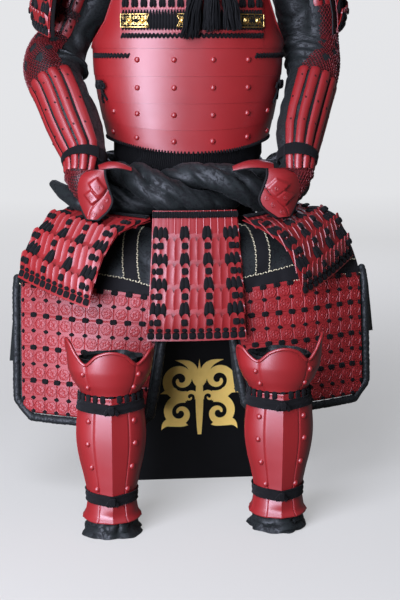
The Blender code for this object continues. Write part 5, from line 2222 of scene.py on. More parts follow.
@dataclass
class ThighApron:
    """One half of the divided thigh apron.

    Black brocade over a padded lining, a field of small iron plates with hexagon flowers,
    bands of tape with a zigzag stitch above them, and a padded edge.
    """

    side: Side
    drop: float                 # how much lower this half hangs at its hem
    tape_foot: float            # share of the width where the upright tape meets the band
    shift: float = -0.010
    hangs: float = 0.45         # below this height the cloth hangs
    lies: float = 0.62          # above it the cloth lies over the thigh
    field_top: float = 4.0      # row where the plates begin
    hem: float = 8.0            # last row
    columns: int = 10
    lames: int = 4
    edge: float = 0.015         # share of the width between the field's side and the first plate
    seam: float = 0.0030        # half the width of a seam, as a share of the width
    foot: float = 0.10          # rows between the field's foot and the hem
    piping: float = 0.0100
    corner: float = 0.020       # how far the outer lower corner is rounded in
    stitch_step: float = 0.0068
    band_rows: tuple[float, float] = (3.62, 4.02)   # upper and lower edge of the level tape
    cloth_wall: float = 0.0026
    tape_wall: float = 0.0010
    field_wall: float = 0.0028
    field_out: float = 0.0034   # how far the plates stand off the cloth
    groove: float = 0.0011      # depth of the seams between them
    flap_wall: float = 0.0022

    def along(self, row: float, share: float, out: float) -> Vector:
        """A point at a row and a share from the inner edge, 0, to the outer edge, 1.

        Args:
            row: the row, from 0 at the waist.
            share: the share.
            out: distance off the cloth.

        Returns:
            The point.
        """
        values = flow(APRON_ROWS, row)
        inner, outer, crown = Vector(values[:3]), Vector(values[3:6]), values[6]
        level = Vector((outer.x - inner.x, outer.y - inner.y, 0)).normalized()
        front = Vector((level.y, -level.x, 0))
        tilt = clamp((inner.z - self.hangs) / (self.lies - self.hangs))
        away = (front * (1 - tilt) + Vector((0, 0, 1)) * tilt).normalized()
        point = inner.lerp(outer, share) + away * (crown * sin(pi * share) + out)
        point.z -= self.drop * row / self.hem
        tuck = smooth((row - 7.4) / 0.6) * smooth((share - 0.90) / 0.10) * self.corner * 0.5
        point += (inner - outer).normalized() * tuck + Vector((0, 0, tuck))
        return Vector((self.side.value * point.x + self.shift, point.y, point.z))

    def surface(self, across: float, up: float, out: float) -> Vector:
        """A point; across runs from 0 to 1 to the viewer's right, up is minus the row."""
        share = across if self.side is Side.LEFT else 1 - across
        return self.along(-up, share, out)

    def rows_at(self, low: float, high: float, count: int) -> list[float]:
        """Row places at equal distances down the middle of the apron.

        Args:
            low: the first row.
            high: the last row.
            count: how many steps lie between them.

        Returns:
            The rows.
        """
        fine = spread(low, high, 160)
        run = distances([self.along(row, 0.5, 0) for row in fine])
        found = []
        for step in range(count + 1):
            goal = run[-1] * step / count
            index = min(range(len(run)), key=lambda number: abs(run[number] - goal))
            found.append(fine[index])
        return found

    def levels(self) -> list[float]:
        """The rows where the lames of plates begin and end."""
        return self.rows_at(self.field_top, self.hem - self.foot, self.lames)

    def place_of(self, column: float) -> float:
        """Across for a column of plates; a whole number is a seam."""
        return self.edge + (1 - 2 * self.edge) * column / self.columns

    def crease(self, across: float, up: float) -> float:
        """Height of the cloth: soft billows above, which die out under the plates.

        Args:
            across: place across, from 0 to 1.
            up: minus the row.

        Returns:
            The height.
        """
        row = -up
        loose = smooth((4.3 - row) / 0.8) * smooth(row / 0.5)
        place = Vector((across * 0.30, row * 0.045, self.side.value * 2.0))
        edge = smooth(min(across, 1 - across) / 0.05)
        return crumple(place, 0.060, 0.0070, 0.20) * (0.10 + 0.90 * loose) * edge - 0.0006

    def cloth(self, shop: Workshop) -> Object:
        """The apron's cloth.

        Args:
            shop: the workshop.

        Returns:
            The cloth.
        """
        rows = lay_rows(self.surface, spread(0.0, 1.0, 54),
                        [-row for row in spread(self.hem, 0.0, 76)], self.crease)
        return shell(f"apron_cloth_{self.side.label}", rows, self.cloth_wall, shop.finish.brocade)

    def stitches(self, path: Sequence[tuple[float, float]], out: float) -> list[Spot]:
        """Zigzag stitches along a line of (across, row) places.

        Args:
            path: the places.
            out: how far the stitches stand off the cloth.

        Returns:
            The spots.
        """
        points = [self.surface(across, -row, out + self.crease(across, -row))
                  for across, row in path]
        spots = []
        spare = 0.0
        for here, after in zip(points, points[1:]):
            run = (after - here).length
            ahead = (after - here).normalized()
            away = (self.surface(path[0][0], -path[0][1], 0.01)
                    - self.surface(path[0][0], -path[0][1], 0.0))
            while spare < run:
                lean = 0.66 if len(spots) % 2 else -0.66
                spots.append(spot_from(here + ahead * spare, away.cross(ahead) * -1, ahead,
                                       lean, (2.35, 1.40, 1.9)))
                spare += self.stitch_step
            spare -= run
        return spots

    def tapes(self, shop: Workshop) -> Object:
        """The flat tapes above the plates, with their zigzag stitches.

        Args:
            shop: the workshop.

        Returns:
            The tapes.
        """
        parts, spots = [], []
        (high, low), foot = self.band_rows, self.tape_foot
        edges = []
        for share in (foot, foot + 0.10):
            line = [(share + 0.065 * (high - row), row) for row in spread(0.6, high, 50)]
            edges.append([(place if self.side is Side.LEFT else 1 - place, row)
                          for place, row in line])
        if self.side is Side.RIGHT:
            edges.reverse()
        lines = [[(across, row) for across in spread(0.0, 1.0, 60)] for row in (low, high)]
        rows = lay_rows(self.surface, spread(0.0, 1.0, 60), [-low, -3.88, -3.75, -high],
                        self.crease, 0.0008)
        parts.append(shell("band", rows, self.tape_wall, shop.finish.tape))
        lines += edges
        rows = []
        for (left, row), (right, _) in reversed(list(zip(*edges))):
            rows.append([self.surface(across, -row, 0.0008 + self.crease(across, -row))
                         for across in spread(left, right, 4)])
        parts.append(shell("tape", rows, self.tape_wall, shop.finish.tape))
        for line in lines:
            spots += self.stitches(line, 0.0016)
        parts.append(shop.strewer.strew("stitches", shop.stitch, spots, shop.finish.thread,
                                        0.05, 4))
        return joined(f"apron_tapes_{self.side.label}", parts)

    def plates(self, shop: Workshop) -> Object:
        """The field of plates, with seams between them and two flowers on each.

        Args:
            shop: the workshop.

        Returns:
            The field.
        """
        levels, seam = self.levels(), self.seam
        across, sunk_across = [self.edge], [0.0]
        for column in range(self.columns):
            left, right = self.place_of(column), self.place_of(column + 1)
            across += [left + seam, left + 1.8 * seam, (left + right) / 2,
                       right - 1.8 * seam, right - seam, right]
            sunk_across += [1.0, 0.0, 0.0, 0.0, 1.0, 1.4] if column else [
                0.0, 0.0, 0.0, 0.0, 1.0, 1.4]
        sunk_across[-2:] = [0.0, 0.0]
        ups, sunk_up = [-levels[-1]], [0.0]
        for lame in reversed(range(self.lames)):
            base, top = levels[lame + 1], levels[lame]
            gap = (base - top) * 0.016
            ups += [-(base - gap), -(base - 2 * gap), -(base + top) / 2,
                    -(top + 2 * gap), -(top + gap), -top]
            sunk_up += [1.0, 0.0, 0.0, 0.0, 1.0, 1.4]
        sunk_up[-2:] = [0.0, 0.0]
        rows = []
        for up, low_up in zip(ups, sunk_up):
            rows.append([self.surface(place, up, self.field_out
                                      - self.groove * max(low_up, low))
                         for place, low in zip(across, sunk_across)])
        parts = [shell("field", rows, self.field_wall, shop.finish.plate, sharp=20.0)]
        spots = []
        for lame in range(self.lames):
            base, top = levels[lame + 1], levels[lame]
            for column in range(self.columns):
                place = self.place_of(column + 0.5)
                for share in (0.265, 0.735):
                    spots.append(spot_on(self.surface, place, -(top + (base - top) * share),
                                         self.field_out, pi / 6, (1.0, 1.0, 1.0), 0.02))
        parts.append(shop.strewer.strew("flowers", shop.flower, spots, shop.finish.plate))
        return joined(f"apron_plates_{self.side.label}", parts)

    def knots(self, shop: Workshop) -> Object:
        """The black lacing of the field: squares between lames, diamonds in the seams.

        Args:
            shop: the workshop.

        Returns:
            The knots.
        """
        levels = self.levels()
        squares, diamonds = [], []
        for column in range(1, self.columns):
            place = self.place_of(column)
            for lame, level in enumerate(levels):
                if lame < self.lames:
                    row = level + (0.06 if lame == 0 else 0.0)
                    squares.append(spot_on(self.surface, place, -row, 0.0036, 0.0,
                                           (1.12, 0.88, 1.0)))
                    middle = (level + levels[lame + 1]) / 2
                    diamonds.append(spot_on(self.surface, place, -middle, 0.0032, 0.0,
                                            (1.45, 1.05, 1.15)))
        for lame, level in enumerate(levels[:-1]):
            for place in (0.030, 0.970):
                for share in (0.0, 0.5):
                    row = level + (levels[lame + 1] - level) * share + 0.05
                    diamonds.append(spot_on(self.surface, place, -row, 0.0034, 0.0,
                                            (0.85, 1.25, 1.0)))
        for column in range(1, self.columns):
            place = self.place_of(column)
            diamonds.append(spot_on(self.surface, place, -(levels[-1] - 0.05), 0.0034, 0.0,
                                    (1.35, 1.0, 1.0)))
        parts = [shop.strewer.strew("squares", shop.knot, squares, shop.finish.braid, 0.1, 5),
                 shop.strewer.strew("diamonds", shop.diamond, diamonds, shop.finish.braid,
                                    0.15, 6)]
        return joined(f"apron_knots_{self.side.label}", parts)

    def edging(self, shop: Workshop) -> Object:
        """The padded brocade edge round the field.

        Args:
            shop: the workshop.

        Returns:
            The edge.
        """
        reach = self.piping + LAY

        def past(row: float, share: float, inner_row: float, inner_share: float) -> Vector:
            """A point past the cloth's edge, away from a point inside it.

            Args:
                row: row of the point on the edge.
                share: its share.
                inner_row: row of the point inside.
                inner_share: its share.

            Returns:
                The point.
            """
            here = self.along(row, share, -0.0015)
            inside = self.along(inner_row, inner_share, -0.0015)
            return here + (here - inside).normalized() * reach

        path = [past(row, 0.0, row, 0.03) for row in spread(3.85, 7.75, 30)]
        path += [past(self.hem, share, 7.8, share) for share in spread(0.03, 0.93, 40)]
        path += [past(row, 1.0, row, 0.97) for row in spread(7.72, 3.85, 30)]
        points = [Vector(flow(path, place)) for place in spread(0, len(path) - 1, 330)]

        def radius(index: int, turn: float) -> float:
            """Radius of the padded edge, drawn in by uneven cross creases.

            Args:
                index: number of the point on the path.
                turn: angle round the edge.

            Returns:
                The radius.
            """
            wrinkle = noise.noise(Vector((index * 0.30, cos(turn) * 0.7,
                                          sin(turn) * 0.7 + 5 * self.side.value)))
            return self.piping * (0.98 + 0.10 * wrinkle) - 0.0008 * abs(
                sin(index * 0.9 + 1.4 * sin(index * 0.13) + turn * 0.4)) ** 6

        rings = capped(tube_rows(points, radius, 14))
        return settle(new_object(f"apron_edge_{self.side.label}",
                                 grid_mesh("edge", rings, closed=True)),
                      shop.finish.brocade, 70.0)

    def lining_flap(self, shop: Workshop, share: float, out: tuple[float, float],
                    rows: tuple[float, float], name: str) -> Object:
        """A strip of the lining that shows past an edge and falls in folds.

        Args:
            shop: the workshop.
            share: share of the apron's width where it starts, 0 or 1.
            out: its width at its upper and lower ends.
            rows: the rows between which it shows.
            name: name of the piece.

        Returns:
            The flap.
        """
        points = []
        for row in spread(rows[1], rows[0], 24):
            base = self.along(row, share, -0.006)
            aside = (base - self.along(row, abs(share - 0.05), -0.006)).normalized()
            fall = (row - rows[0]) / (rows[1] - rows[0])
            wide = out[0] + (out[1] - out[0]) * fall
            line = []
            for step in spread(0.0, 1.0, 8):
                fold = 0.006 * sin(step * 5 + fall * 3) * smooth(step / 0.3)
                line.append(base + aside * (wide * step)
                            + Vector((0, 0.012 * step + fold, -0.010 * step * fall)))
            points.append(line)
        flip = (share > 0.5) != (self.side is Side.LEFT)
        if flip:
            points = [list(reversed(line)) for line in points]
        return shell(name, points, self.flap_wall, shop.finish.brocade)

    def build(self, shop: Workshop) -> None:
        """Build this half of the apron.

        Args:
            shop: the workshop.
        """
        label = self.side.label
        cloth = self.cloth(shop)
        shop.hand_over(cloth, "black_brocade", f"haidate_cloth_{label}")
        tapes = self.tapes(shop)
        shop.hand_over(tapes, "black_brocade")
        rows = spread(0.0, self.hem, 40)
        drop = distances([self.along(row, 0.5, 0) for row in rows])[-1]
        wide = (self.along(6.0, 0.0, 0) - self.along(6.0, 1.0, 0)).length
        shop.hand_over(self.plates(shop), "red_lacquer", f"haidate_plates_{label}")
        shop.hand_over(self.knots(shop), "black_braid")
        shop.hand_over(self.edging(shop), "black_brocade",
                                 f"haidate_piping_{label}")
        inner = self.lining_flap(shop, 0.0, (0.018, 0.024), (5.6, 7.3),
                                 f"apron_inner_lining_{label}")
        outer = self.lining_flap(shop, 1.0, (0.028, 0.045) if self.side is Side.LEFT
                                 else (0.024, 0.034), (4.1, 6.0) if self.side is Side.LEFT
                                 else (5.4, 6.4), f"apron_outer_lining_{label}")
        for flap in (inner, outer):
            shop.hand_over(flap, "black_brocade")


# ------------------------------------------------------------------ arms
# stations of each arm's path: x, y, z, radius and bag of the sleeve on its inner side
ARM_STATIONS = {
    Side.RIGHT: (
        (0.262, 0.022, 1.212, 0.052, 0.046), (0.276, 0.026, 1.172, 0.050, 0.044),
        (0.294, 0.030, 1.128, 0.050, 0.025), (0.312, 0.030, 1.088, 0.050, 0.020),
        (0.338, 0.018, 1.052, 0.056, 0.036), (0.349, -0.004, 1.020, 0.057, 0.044),
        (0.345, -0.030, 0.990, 0.055, 0.030), (0.323, -0.064, 0.950, 0.054, 0.020),
        (0.306, -0.100, 0.905, 0.053, 0.026), (0.288, -0.136, 0.860, 0.050, 0.026),
        (0.270, -0.166, 0.822, 0.047, 0.014), (0.266, -0.188, 0.798, 0.043, 0.006),
        (0.270, -0.206, 0.774, 0.038, 0.000), (0.276, -0.220, 0.750, 0.034, 0.000)),
    Side.LEFT: (
        (0.322, 0.022, 1.212, 0.050, 0.060), (0.328, 0.026, 1.172, 0.050, 0.058),
        (0.333, 0.030, 1.128, 0.050, 0.052), (0.334, 0.030, 1.088, 0.051, 0.040),
        (0.330, 0.018, 1.052, 0.056, 0.026), (0.325, -0.004, 1.020, 0.058, 0.016),
        (0.317, -0.030, 0.990, 0.056, 0.012), (0.299, -0.064, 0.950, 0.055, 0.009),
        (0.280, -0.100, 0.905, 0.055, 0.006), (0.262, -0.136, 0.860, 0.054, 0.004),
        (0.251, -0.176, 0.824, 0.047, 0.000), (0.246, -0.198, 0.801, 0.042, 0.000),
        (0.244, -0.210, 0.777, 0.038, 0.000), (0.248, -0.220, 0.752, 0.034, 0.000)),
}


@dataclass
class ArmouredSleeve:
    """A brocade sleeve with mail over the arm, plates above and splints on the forearm."""

    side: Side
    mail_edge: tuple[tuple[float, float], ...]  # station and how far round the mail reaches
    plate_rows: tuple[tuple[float, float], ...]  # stations of each row of upper plates
    mail_spans: tuple[tuple[float, float], ...]
    ring: float = 0.0086        # distance between rings of the mail
    wrist: tuple[float, float] = (10.65, 11.3)
    end: float = 13.0           # last station
    plates: tuple[float, ...] = (-62.0, -30.0, 2.0, 34.0, 66.0)
    cloth_wall: float = 0.0022
    strip_wall: float = 0.0016
    splints: tuple[float, ...] = (-58.0, -27.0, 4.0, 34.0, 64.0, 95.0)

    def surface(self, across: float, up: float, out: float) -> Vector:
        """A point; across is an angle to the viewer's right, up is minus the station.

        Args:
            across: angle to the viewer's right.
            up: minus the station.
            out: distance outside the surface.

        Returns:
            The point.
        """
        table = ARM_STATIONS[self.side]
        x, y, z, radius, bag = flow(table, -up)
        before, after = flow(table, -up - 0.5)[:3], flow(table, -up + 0.5)[:3]
        along = (Vector(after) - Vector(before)).normalized()
        outer = Vector((1.0, -0.55, 0.15))
        outer = (outer - along * outer.dot(along)).normalized()
        turn = -self.side.value * across
        spoke = outer * cos(turn) + along.cross(outer) * sin(turn)
        point = Vector((x, y, z)) + spoke * (radius + bag * max(0.0, -cos(turn)) + out)
        return Vector((self.side.value * point.x, point.y, point.z))

    def fold(self, across: float, up: float) -> float:
        """Height of the cloth's folds, deepest on the inner side of the elbow.

        Args:
            across: angle to the viewer's right.
            up: minus the station.

        Returns:
            The height.
        """
        turn = degrees_round(-self.side.value * across)
        station = -up
        loose = smooth((abs(turn) - 60) / 50)
        bend = bell(station - 4.9, 1.5)
        gathers = sin(station * 7.5 + 1.3 * sin(2 * across) + 0.4 * turn / 30)
        place = Vector((cos(across) * 0.05, sin(across) * 0.05, station * 0.030))
        billow = 0.008 * exp(-(((turn - 128) / 34) ** 2) - ((station - 3.6) / 1.5) ** 2)
        ends = smooth(station / 0.4) * smooth((self.end - station) / 0.4)
        soft = crumple(place + Vector((self.side.value, 0, 0)), 0.034, 0.0058, 0.2)
        return (loose * (soft + bend * 0.0035 * gathers + billow) + 0.0004) * ends

    def turn_to(self, degrees: float) -> float:
        """Across for an angle from the outer side, towards the inner front."""
        return -self.side.value * radians(degrees)

    def cloth(self, shop: Workshop) -> Object:
        """The sleeve's cloth.

        Args:
            shop: the workshop.

        Returns:
            The cloth.
        """
        turns = around(60)
        rows = lay_rows(self.surface, turns, spread(-self.end, 0.0, 108), self.fold)
        return shell(f"sleeve_cloth_{self.side.label}", rows, self.cloth_wall,
                     shop.finish.brocade, closed=True)

    def in_hole(self, degrees: float, station: float) -> bool:
        """Whether a place lies in one of the mail's diamond openings at the elbow.

        Args:
            degrees: angle from the outer side.
            station: place along the arm.

        Returns:
            True in an opening.
        """
        for middle, holes in ((3.75, (8.0, 52.0)), (4.65, (-30.0, 20.0, 62.0)),
                              (5.45, (-4.0, 44.0))):
            for hole in holes:
                if abs(degrees - hole) / 13.5 + abs(station - middle) / 0.40 < 1.0:
                    return True
        return False

    def mail(self, shop: Workshop) -> Object:
        """Rings and links of mail laid over the cloth.

        Args:
            shop: the workshop.

        Returns:
            The mail.
        """
        rings, links = [], []
        for low, high in self.mail_spans:
            station, row = low, 0
            while station < high:
                inner = read_at(self.mail_edge, station)[1]
                step = math.degrees(self.ring / flow(ARM_STATIONS[self.side], station)[3])
                degrees = -106.0 + (row % 2) * step / 2
                while degrees < inner:
                    if not self.in_hole(degrees, station):
                        lift = 0.0016 + self.fold(self.turn_to(degrees), -station)
                        lean = 0.35 * sin(degrees * 0.7 + row * 1.9)
                        rings.append(spot_on(self.surface, self.turn_to(degrees), -station,
                                             lift, lean))
                        links.append(spot_on(self.surface, self.turn_to(degrees + step / 2),
                                             -station, lift + 0.0006, lean * 2))
                    degrees += step
                ahead = self.surface(0, -station, 0) - self.surface(0, -station - 0.1, 0)
                station += 0.1 * self.ring * 0.80 / ahead.length
                row += 1
        return joined(f"sleeve_mail_{self.side.label}", shop.linked(rings, links, 12))

    def strip(self, degrees: float, low: float, high: float, width: tuple[float, float],
              rise: float, finish: Material, lift: float = 0.0016
              ) -> Object:
        """A half-round strip of plate along the arm.

        Args:
            degrees: where it lies round the arm.
            low: station of its upper end.
            high: station of its lower end.
            width: its width at its upper and lower ends.
            rise: how high its middle stands above its edges.
            finish: its material.
            lift: how far its edges stand off the sleeve.

        Returns:
            The strip.
        """
        rows = []
        for share in (1.0, 0.985, 0.95, 0.8, 0.65, 0.5, 0.35, 0.2, 0.08, 0.035, 0.012, 0.0):
            station = low + (high - low) * share
            end = min(share, 1 - share) * (high - low)
            narrow = 1 - 0.22 * (1 - smooth(end / 0.16)) ** 2
            half = (width[0] + (width[1] - width[0]) * share) / 2 * narrow
            radius = flow(ARM_STATIONS[self.side], station)[3]
            row = []
            for step in spread(-1.0, 1.0, 8):
                turn = self.turn_to(degrees) + step * half / radius
                height = rise * math.sqrt(max(0.0, 1 - step * step * 0.96))
                row.append(self.surface(turn, -station, lift + height * (0.72 + 0.28 * smooth(
                    end / 0.12))))
            rows.append(row)
        return shell("strip", rows, self.strip_wall, finish)

    def holes(self, degrees: float, low: float, high: float) -> list[Spot]:
        """Pairs of small black ties that sew a strip to the sleeve.

        Args:
            degrees: where the strip lies round the arm.
            low: station of its upper end.
            high: station of its lower end.

        Returns:
            Where the ties go.
        """
        spots = []
        for number, share in enumerate((0.12, 0.38, 0.66)):
            place = self.turn_to(degrees + (4.0 if number % 2 else -4.0))
            for hand in (-1, 1):
                spots.append(spot_on(self.surface, place + hand * 0.020,
                                     -(low + (high - low) * share), 0.0064, 0.25,
                                     (1.9, 1.7, 1.2)))
        return spots

    def hand_mail(self, shop: Workshop, guard: "HandGuard") -> Object:
        """The mail between the cuff and the hand plate, with its cloth under it.

        Args:
            shop: the workshop.
            guard: the hand guard that it reaches to.

        Returns:
            The mail with its cloth.
        """
        def surface(across: float, up: float, out: float) -> Vector:
            """A point; across runs from 0 to 1 to the viewer's right, up from hand to cuff.

            Args:
                across: the place across.
                up: the place from hand to cuff.
                out: distance outside the surface.

            Returns:
                The point.
            """
            share = across if self.side is Side.RIGHT else 1 - across
            cuff = self.surface(self.turn_to(-42 + 184 * share), -12.55, 0.0018)
            edge = self.side.value
            if share < 0.5:
                hand = guard.surface(edge * 0.96, -3.0 * (1 - share / 0.5) - 0.25, -0.002)
            else:
                hand = guard.surface(edge * (0.96 - 3.4 * (share - 0.5)), -0.25, -0.002)
            centre = self.surface(0, -12.8, 0).lerp(self.surface(pi, -12.8, 0), 0.5)
            point = hand.lerp(cuff, up)
            away = (point - centre - Vector((0, 0, 0.3 * (point.z - centre.z)))).normalized()
            return point + away * (0.004 * sin(pi * up) + out)

        rows = lay_rows(surface, spread(0.0, 1.0, 40), spread(0.0, 1.0, 12),
                        lambda across, up: 0.0)
        parts = [shell("hand_cloth", rows, self.strip_wall, shop.finish.brocade)]
        rings, links = [], []
        for number, up in enumerate(spread(0.06, 0.96, 7)):
            for column in range(18):
                across = (column + 0.25 + 0.5 * (number % 2)) / 18
                lean = 0.35 * sin(column * 1.7 + number * 1.9)
                rings.append(spot_on(surface, across, up, 0.0014, lean, (1, 1, 1), 0.02))
                links.append(spot_on(surface, across + 0.5 / 18, up, 0.0020, lean * 2,
                                     (1, 1, 1), 0.02))
        parts += shop.linked(rings, links, 14)
        return joined(f"hand_mail_{self.side.label}", parts)

    def build(self, shop: Workshop, guard: "HandGuard") -> None:
        """Build the sleeve and everything that is sewn to it.

        Args:
            shop: the workshop.
            guard: the hand guard that it reaches to.
        """
        label, red = self.side.label, shop.finish.red
        cloth = self.cloth(shop)
        shop.hand_over(cloth, "black_brocade", f"sleeve_{label}")
        mail = self.mail(shop)
        shop.hand_over(mail, "red_lacquer")
        hand_mail = self.hand_mail(shop, guard)
        shop.hand_over(hand_mail, "red_lacquer")
        path = [self.surface(0, -station, 0) for station in spread(0.0, self.end, 44)]
        length = distances(path)[-1]
        parts, ties = [], []
        for low, high in self.plate_rows:
            for degrees in self.plates:
                parts.append(self.strip(degrees, low, high, (0.0215, 0.0215), 0.0022, red,
                                        0.0024))
                ties += self.holes(degrees, low, high)
        shop.hand_over(joined(f"upper_plates_{label}", parts), "red_lacquer",
                       f"upper_arm_plates_{label}")
        parts = [self.strip(degrees, 6.30, 12.3, (0.0245, 0.0165), 0.0056, red)
                 for degrees in self.splints]
        for degrees in self.splints:
            ties += self.holes(degrees, 6.30, 10.6)
        shop.hand_over(joined(f"splints_{label}", parts), "red_lacquer",
                       f"forearm_splints_{label}")
        ties = shop.strewer.strew(f"plate_ties_{label}", shop.stitch, ties, shop.finish.braid)
        shop.hand_over(ties, "black_braid")
        self.strap(shop)

    def strap(self, shop: Workshop) -> None:
        """The flat braid tied round the wrist over the splints.

        Args:
            shop: the workshop.
        """
        turns = around(72)

        def relief(across: float, up: float) -> float:
            """Height of the strap over the splints, with a slight twist.

            Args:
                across: angle to the viewer's right.
                up: minus the station.

            Returns:
                The height.
            """
            degrees = degrees_round(-self.side.value * across)
            over = 0.0096 if -72 < degrees < 108 else 0.0062
            return over + 0.0007 * noise.noise(Vector((cos(across) * 3,
                                                       sin(across) * 3, up * 2)))

        low, high = self.wrist
        rows = lay_rows(self.surface, turns, [-high, -high + 0.05, -high + 0.2,
                                              -(low + high) / 2, -low - 0.2, -low - 0.05,
                                              -low], relief)
        band = shell(f"wrist_braid_{self.side.label}", rows, self.cloth_wall, shop.finish.braid,
                     closed=True)
        shop.hand_over(band, "black_braid", f"wrist_strap_{self.side.label}")


@dataclass
class HandGuard:
    """A lacquered plate over the back of the hand, with raised knuckles, and its thumb."""

    side: Side
    shift: float
    opened: float = 1.0         # how much wider than the right hand it is held
    wall: float = 0.0022
    lining_wall: float = 0.0016
    binding: float = 0.0034     # radius of the bound edge
    thumb_binding: float = 0.0018
    # each raised pad over the knuckles: middle across, row, width and height
    pads: tuple[tuple[float, ...], ...] = ((0.40, 1.85, 1.30, 1.12), (-0.06, 2.78, 1.12, 0.95))
    palm: tuple[tuple[float, ...], ...] = (
        (0.238, -0.270, 0.787, 0.021, 0.004), (0.248, -0.277, 0.770, 0.032, 0.007),
        (0.248, -0.281, 0.742, 0.040, 0.010), (0.244, -0.283, 0.718, 0.042, 0.011),
        (0.245, -0.285, 0.695, 0.033, 0.009), (0.249, -0.287, 0.673, 0.015, 0.003))
    thumb: tuple[tuple[float, ...], ...] = (
        (0.232, -0.246, 0.791, 0.016, 0.003), (0.208, -0.250, 0.799, 0.018, 0.005),
        (0.182, -0.253, 0.798, 0.016, 0.005), (0.155, -0.254, 0.787, 0.010, 0.003))

    def point(self, table: Sequence[Sequence[float]], wide: Vector, normal: Vector,
              share: float, row: float, out: float) -> Vector:
        """A point on a small arched plate of the hand.

        Args:
            table: stations down the plate: place, half width and arch.
            wide: direction of the plate's width.
            normal: direction that it faces.
            share: place across it, from -1 to 1.
            row: place along it.
            out: distance off it.

        Returns:
            The point.
        """
        x, y, z, half, arch = flow(table, row)
        x = table[0][0] + (x - table[0][0]) * self.opened
        point = Vector((x, y, z)) + wide * (share * half * self.opened)
        point += normal * (out - arch * share * share)
        return Vector((self.side.value * point.x + self.shift, point.y, point.z))

    def surface(self, across: float, up: float, out: float) -> Vector:
        """A point on the hand plate; across from -1 to 1, up is minus the row.

        Args:
            across: the place across.
            up: minus the row.
            out: distance outside the surface.

        Returns:
            The point.
        """
        wide = Vector((-0.93, -0.36, 0.0)).normalized()
        normal = Vector((0.36, -0.93, 0.2)).normalized()
        return self.point(self.palm, wide, normal, -self.side.value * across, -up, out)

    def over_thumb(self, across: float, up: float, out: float) -> Vector:
        """A point on the thumb plate; across from -1 to 1 runs along it.

        Args:
            across: the place along the thumb.
            up: the place across it, from -1 to 1.
            out: distance outside the surface.

        Returns:
            The point.
        """
        wide = Vector((0.05, 0.93, 0.34)).normalized()
        normal = Vector((0.0, -0.34, 0.93)).normalized()
        row = 1.5 * (1 - self.side.value * across)
        return self.point(self.thumb, wide, normal, up, row, out)

    def knuckles(self, across: float, up: float) -> float:
        """Relief of the hand plate: a dome, two bevelled pads and the finger plate.

        Args:
            across: place across the plate.
            up: minus the row.

        Returns:
            The height.
        """
        inward, row = -self.side.value * across, -up
        dome = cos(pi / 2 * clamp(abs(across))) * smooth(row / 1.4)
        height = 0.0050 * dome + 0.0004
        cut = self.seam(inward, row)
        height -= 0.0022 * bell(cut, 0.10)
        for middle, level, wide, tall in self.pads:
            aside, below = (inward - middle) / wide, (row - level) / tall
            near = max(abs(2.7 * aside - 0.98 * below), abs(1.28 * aside + 1.22 * below))
            height += 0.0056 * smooth((1 - near) / 0.34) * smooth((-cut - 0.02) / 0.12)
        return height

    @staticmethod
    def seam(inward: float, row: float) -> float:
        """How far a place lies below the laced seam between the palm and finger plates."""
        return row - 3.68 + 2.0 * inward

    def build(self, shop: Workshop) -> None:
        """Build the hand plate and the thumb plate with their black bindings.

        Args:
            shop: the workshop.
        """
        label, red = self.side.label, shop.finish.red
        across, up = spread(-1.0, 1.0, 44), spread(-5.0, 0.0, 60)
        plate = shell("hand_plate", lay_rows(self.surface, across, up, self.knuckles),
                      self.wall, red)
        lining = shell("hand_lining", lay_rows(self.surface, spread(-0.98, 0.98, 12),
                                               spread(-4.98, -0.02, 16), None, -0.0034),
                       self.lining_wall, shop.finish.leather)
        inner = -self.side.value
        outline = [self.surface(-inner, -row, -0.0010) for row in spread(3.6, 5, 10)]
        outline += [self.surface(inner * share, -5, -0.0010) for share in spread(-0.8, 0.8, 6)]
        outline += [self.surface(inner, -row, 0.0004) for row in spread(5, 0, 28)]
        binding = shop.corder.run("binding", [outline], self.binding, shop.finish.leather, 8)
        guard = joined(f"hand_plate_{label}", [plate, lining, binding])
        shop.hand_over(guard, "red_lacquer", f"hand_guard_{label}")
        dots, flowers = [], []
        for inward in spread(-0.50, 0.92, 21):
            row = 3.68 - 2.0 * inward
            dots.append(spot_on(self.surface, -self.side.value * inward, -row, 0.0012,
                                0.6, (1.9, 0.9, 1.2), 0.04))
        for inward, row, size in ((self.pads[0][0], self.pads[0][1], 0.46),
                                  (self.pads[1][0], self.pads[1][1], 0.42),
                                  (0.68, 2.95, 0.46), (0.46, 3.65, 0.54),
                                  (0.12, 4.40, 0.50)):
            place = -self.side.value * inward
            lift = self.knuckles(place, -row) - 0.0004
            flowers.append(spot_on(self.surface, place, -row, lift, 0.3,
                                   (size, size, 0.9), 0.04))
        sewn = shop.strewer.strew(f"hand_lacing_{label}", shop.stitch, dots,
                                  shop.finish.braid, 0.2, 3)
        shop.hand_over(sewn, "black_braid")
        worked = shop.strewer.strew(f"hand_flowers_{label}", shop.flower, flowers, red)
        shop.hand_over(worked, "red_lacquer")
        across, up = spread(-1.0, 1.0, 26), spread(-1.0, 1.0, 12)
        rows = lay_rows(self.over_thumb, across, up,
                        lambda a, u: 0.0024 * (1 - u * u) + 0.0004)
        plate = shell("thumb_plate", rows, self.wall, red)
        outline = [self.over_thumb(share, -1, 0) for share in across]
        outline += [self.over_thumb(1, share, 0) for share in spread(-0.7, 0.7, 6)]
        outline += [self.over_thumb(share, 1, 0) for share in reversed(across)]
        binding = shop.corder.run("binding", [outline], self.thumb_binding,
                                  shop.finish.leather, 8)
        shop.hand_over(joined(f"thumb_plate_{label}", [plate, binding]), "red_lacquer",
                       f"thumb_guard_{label}")


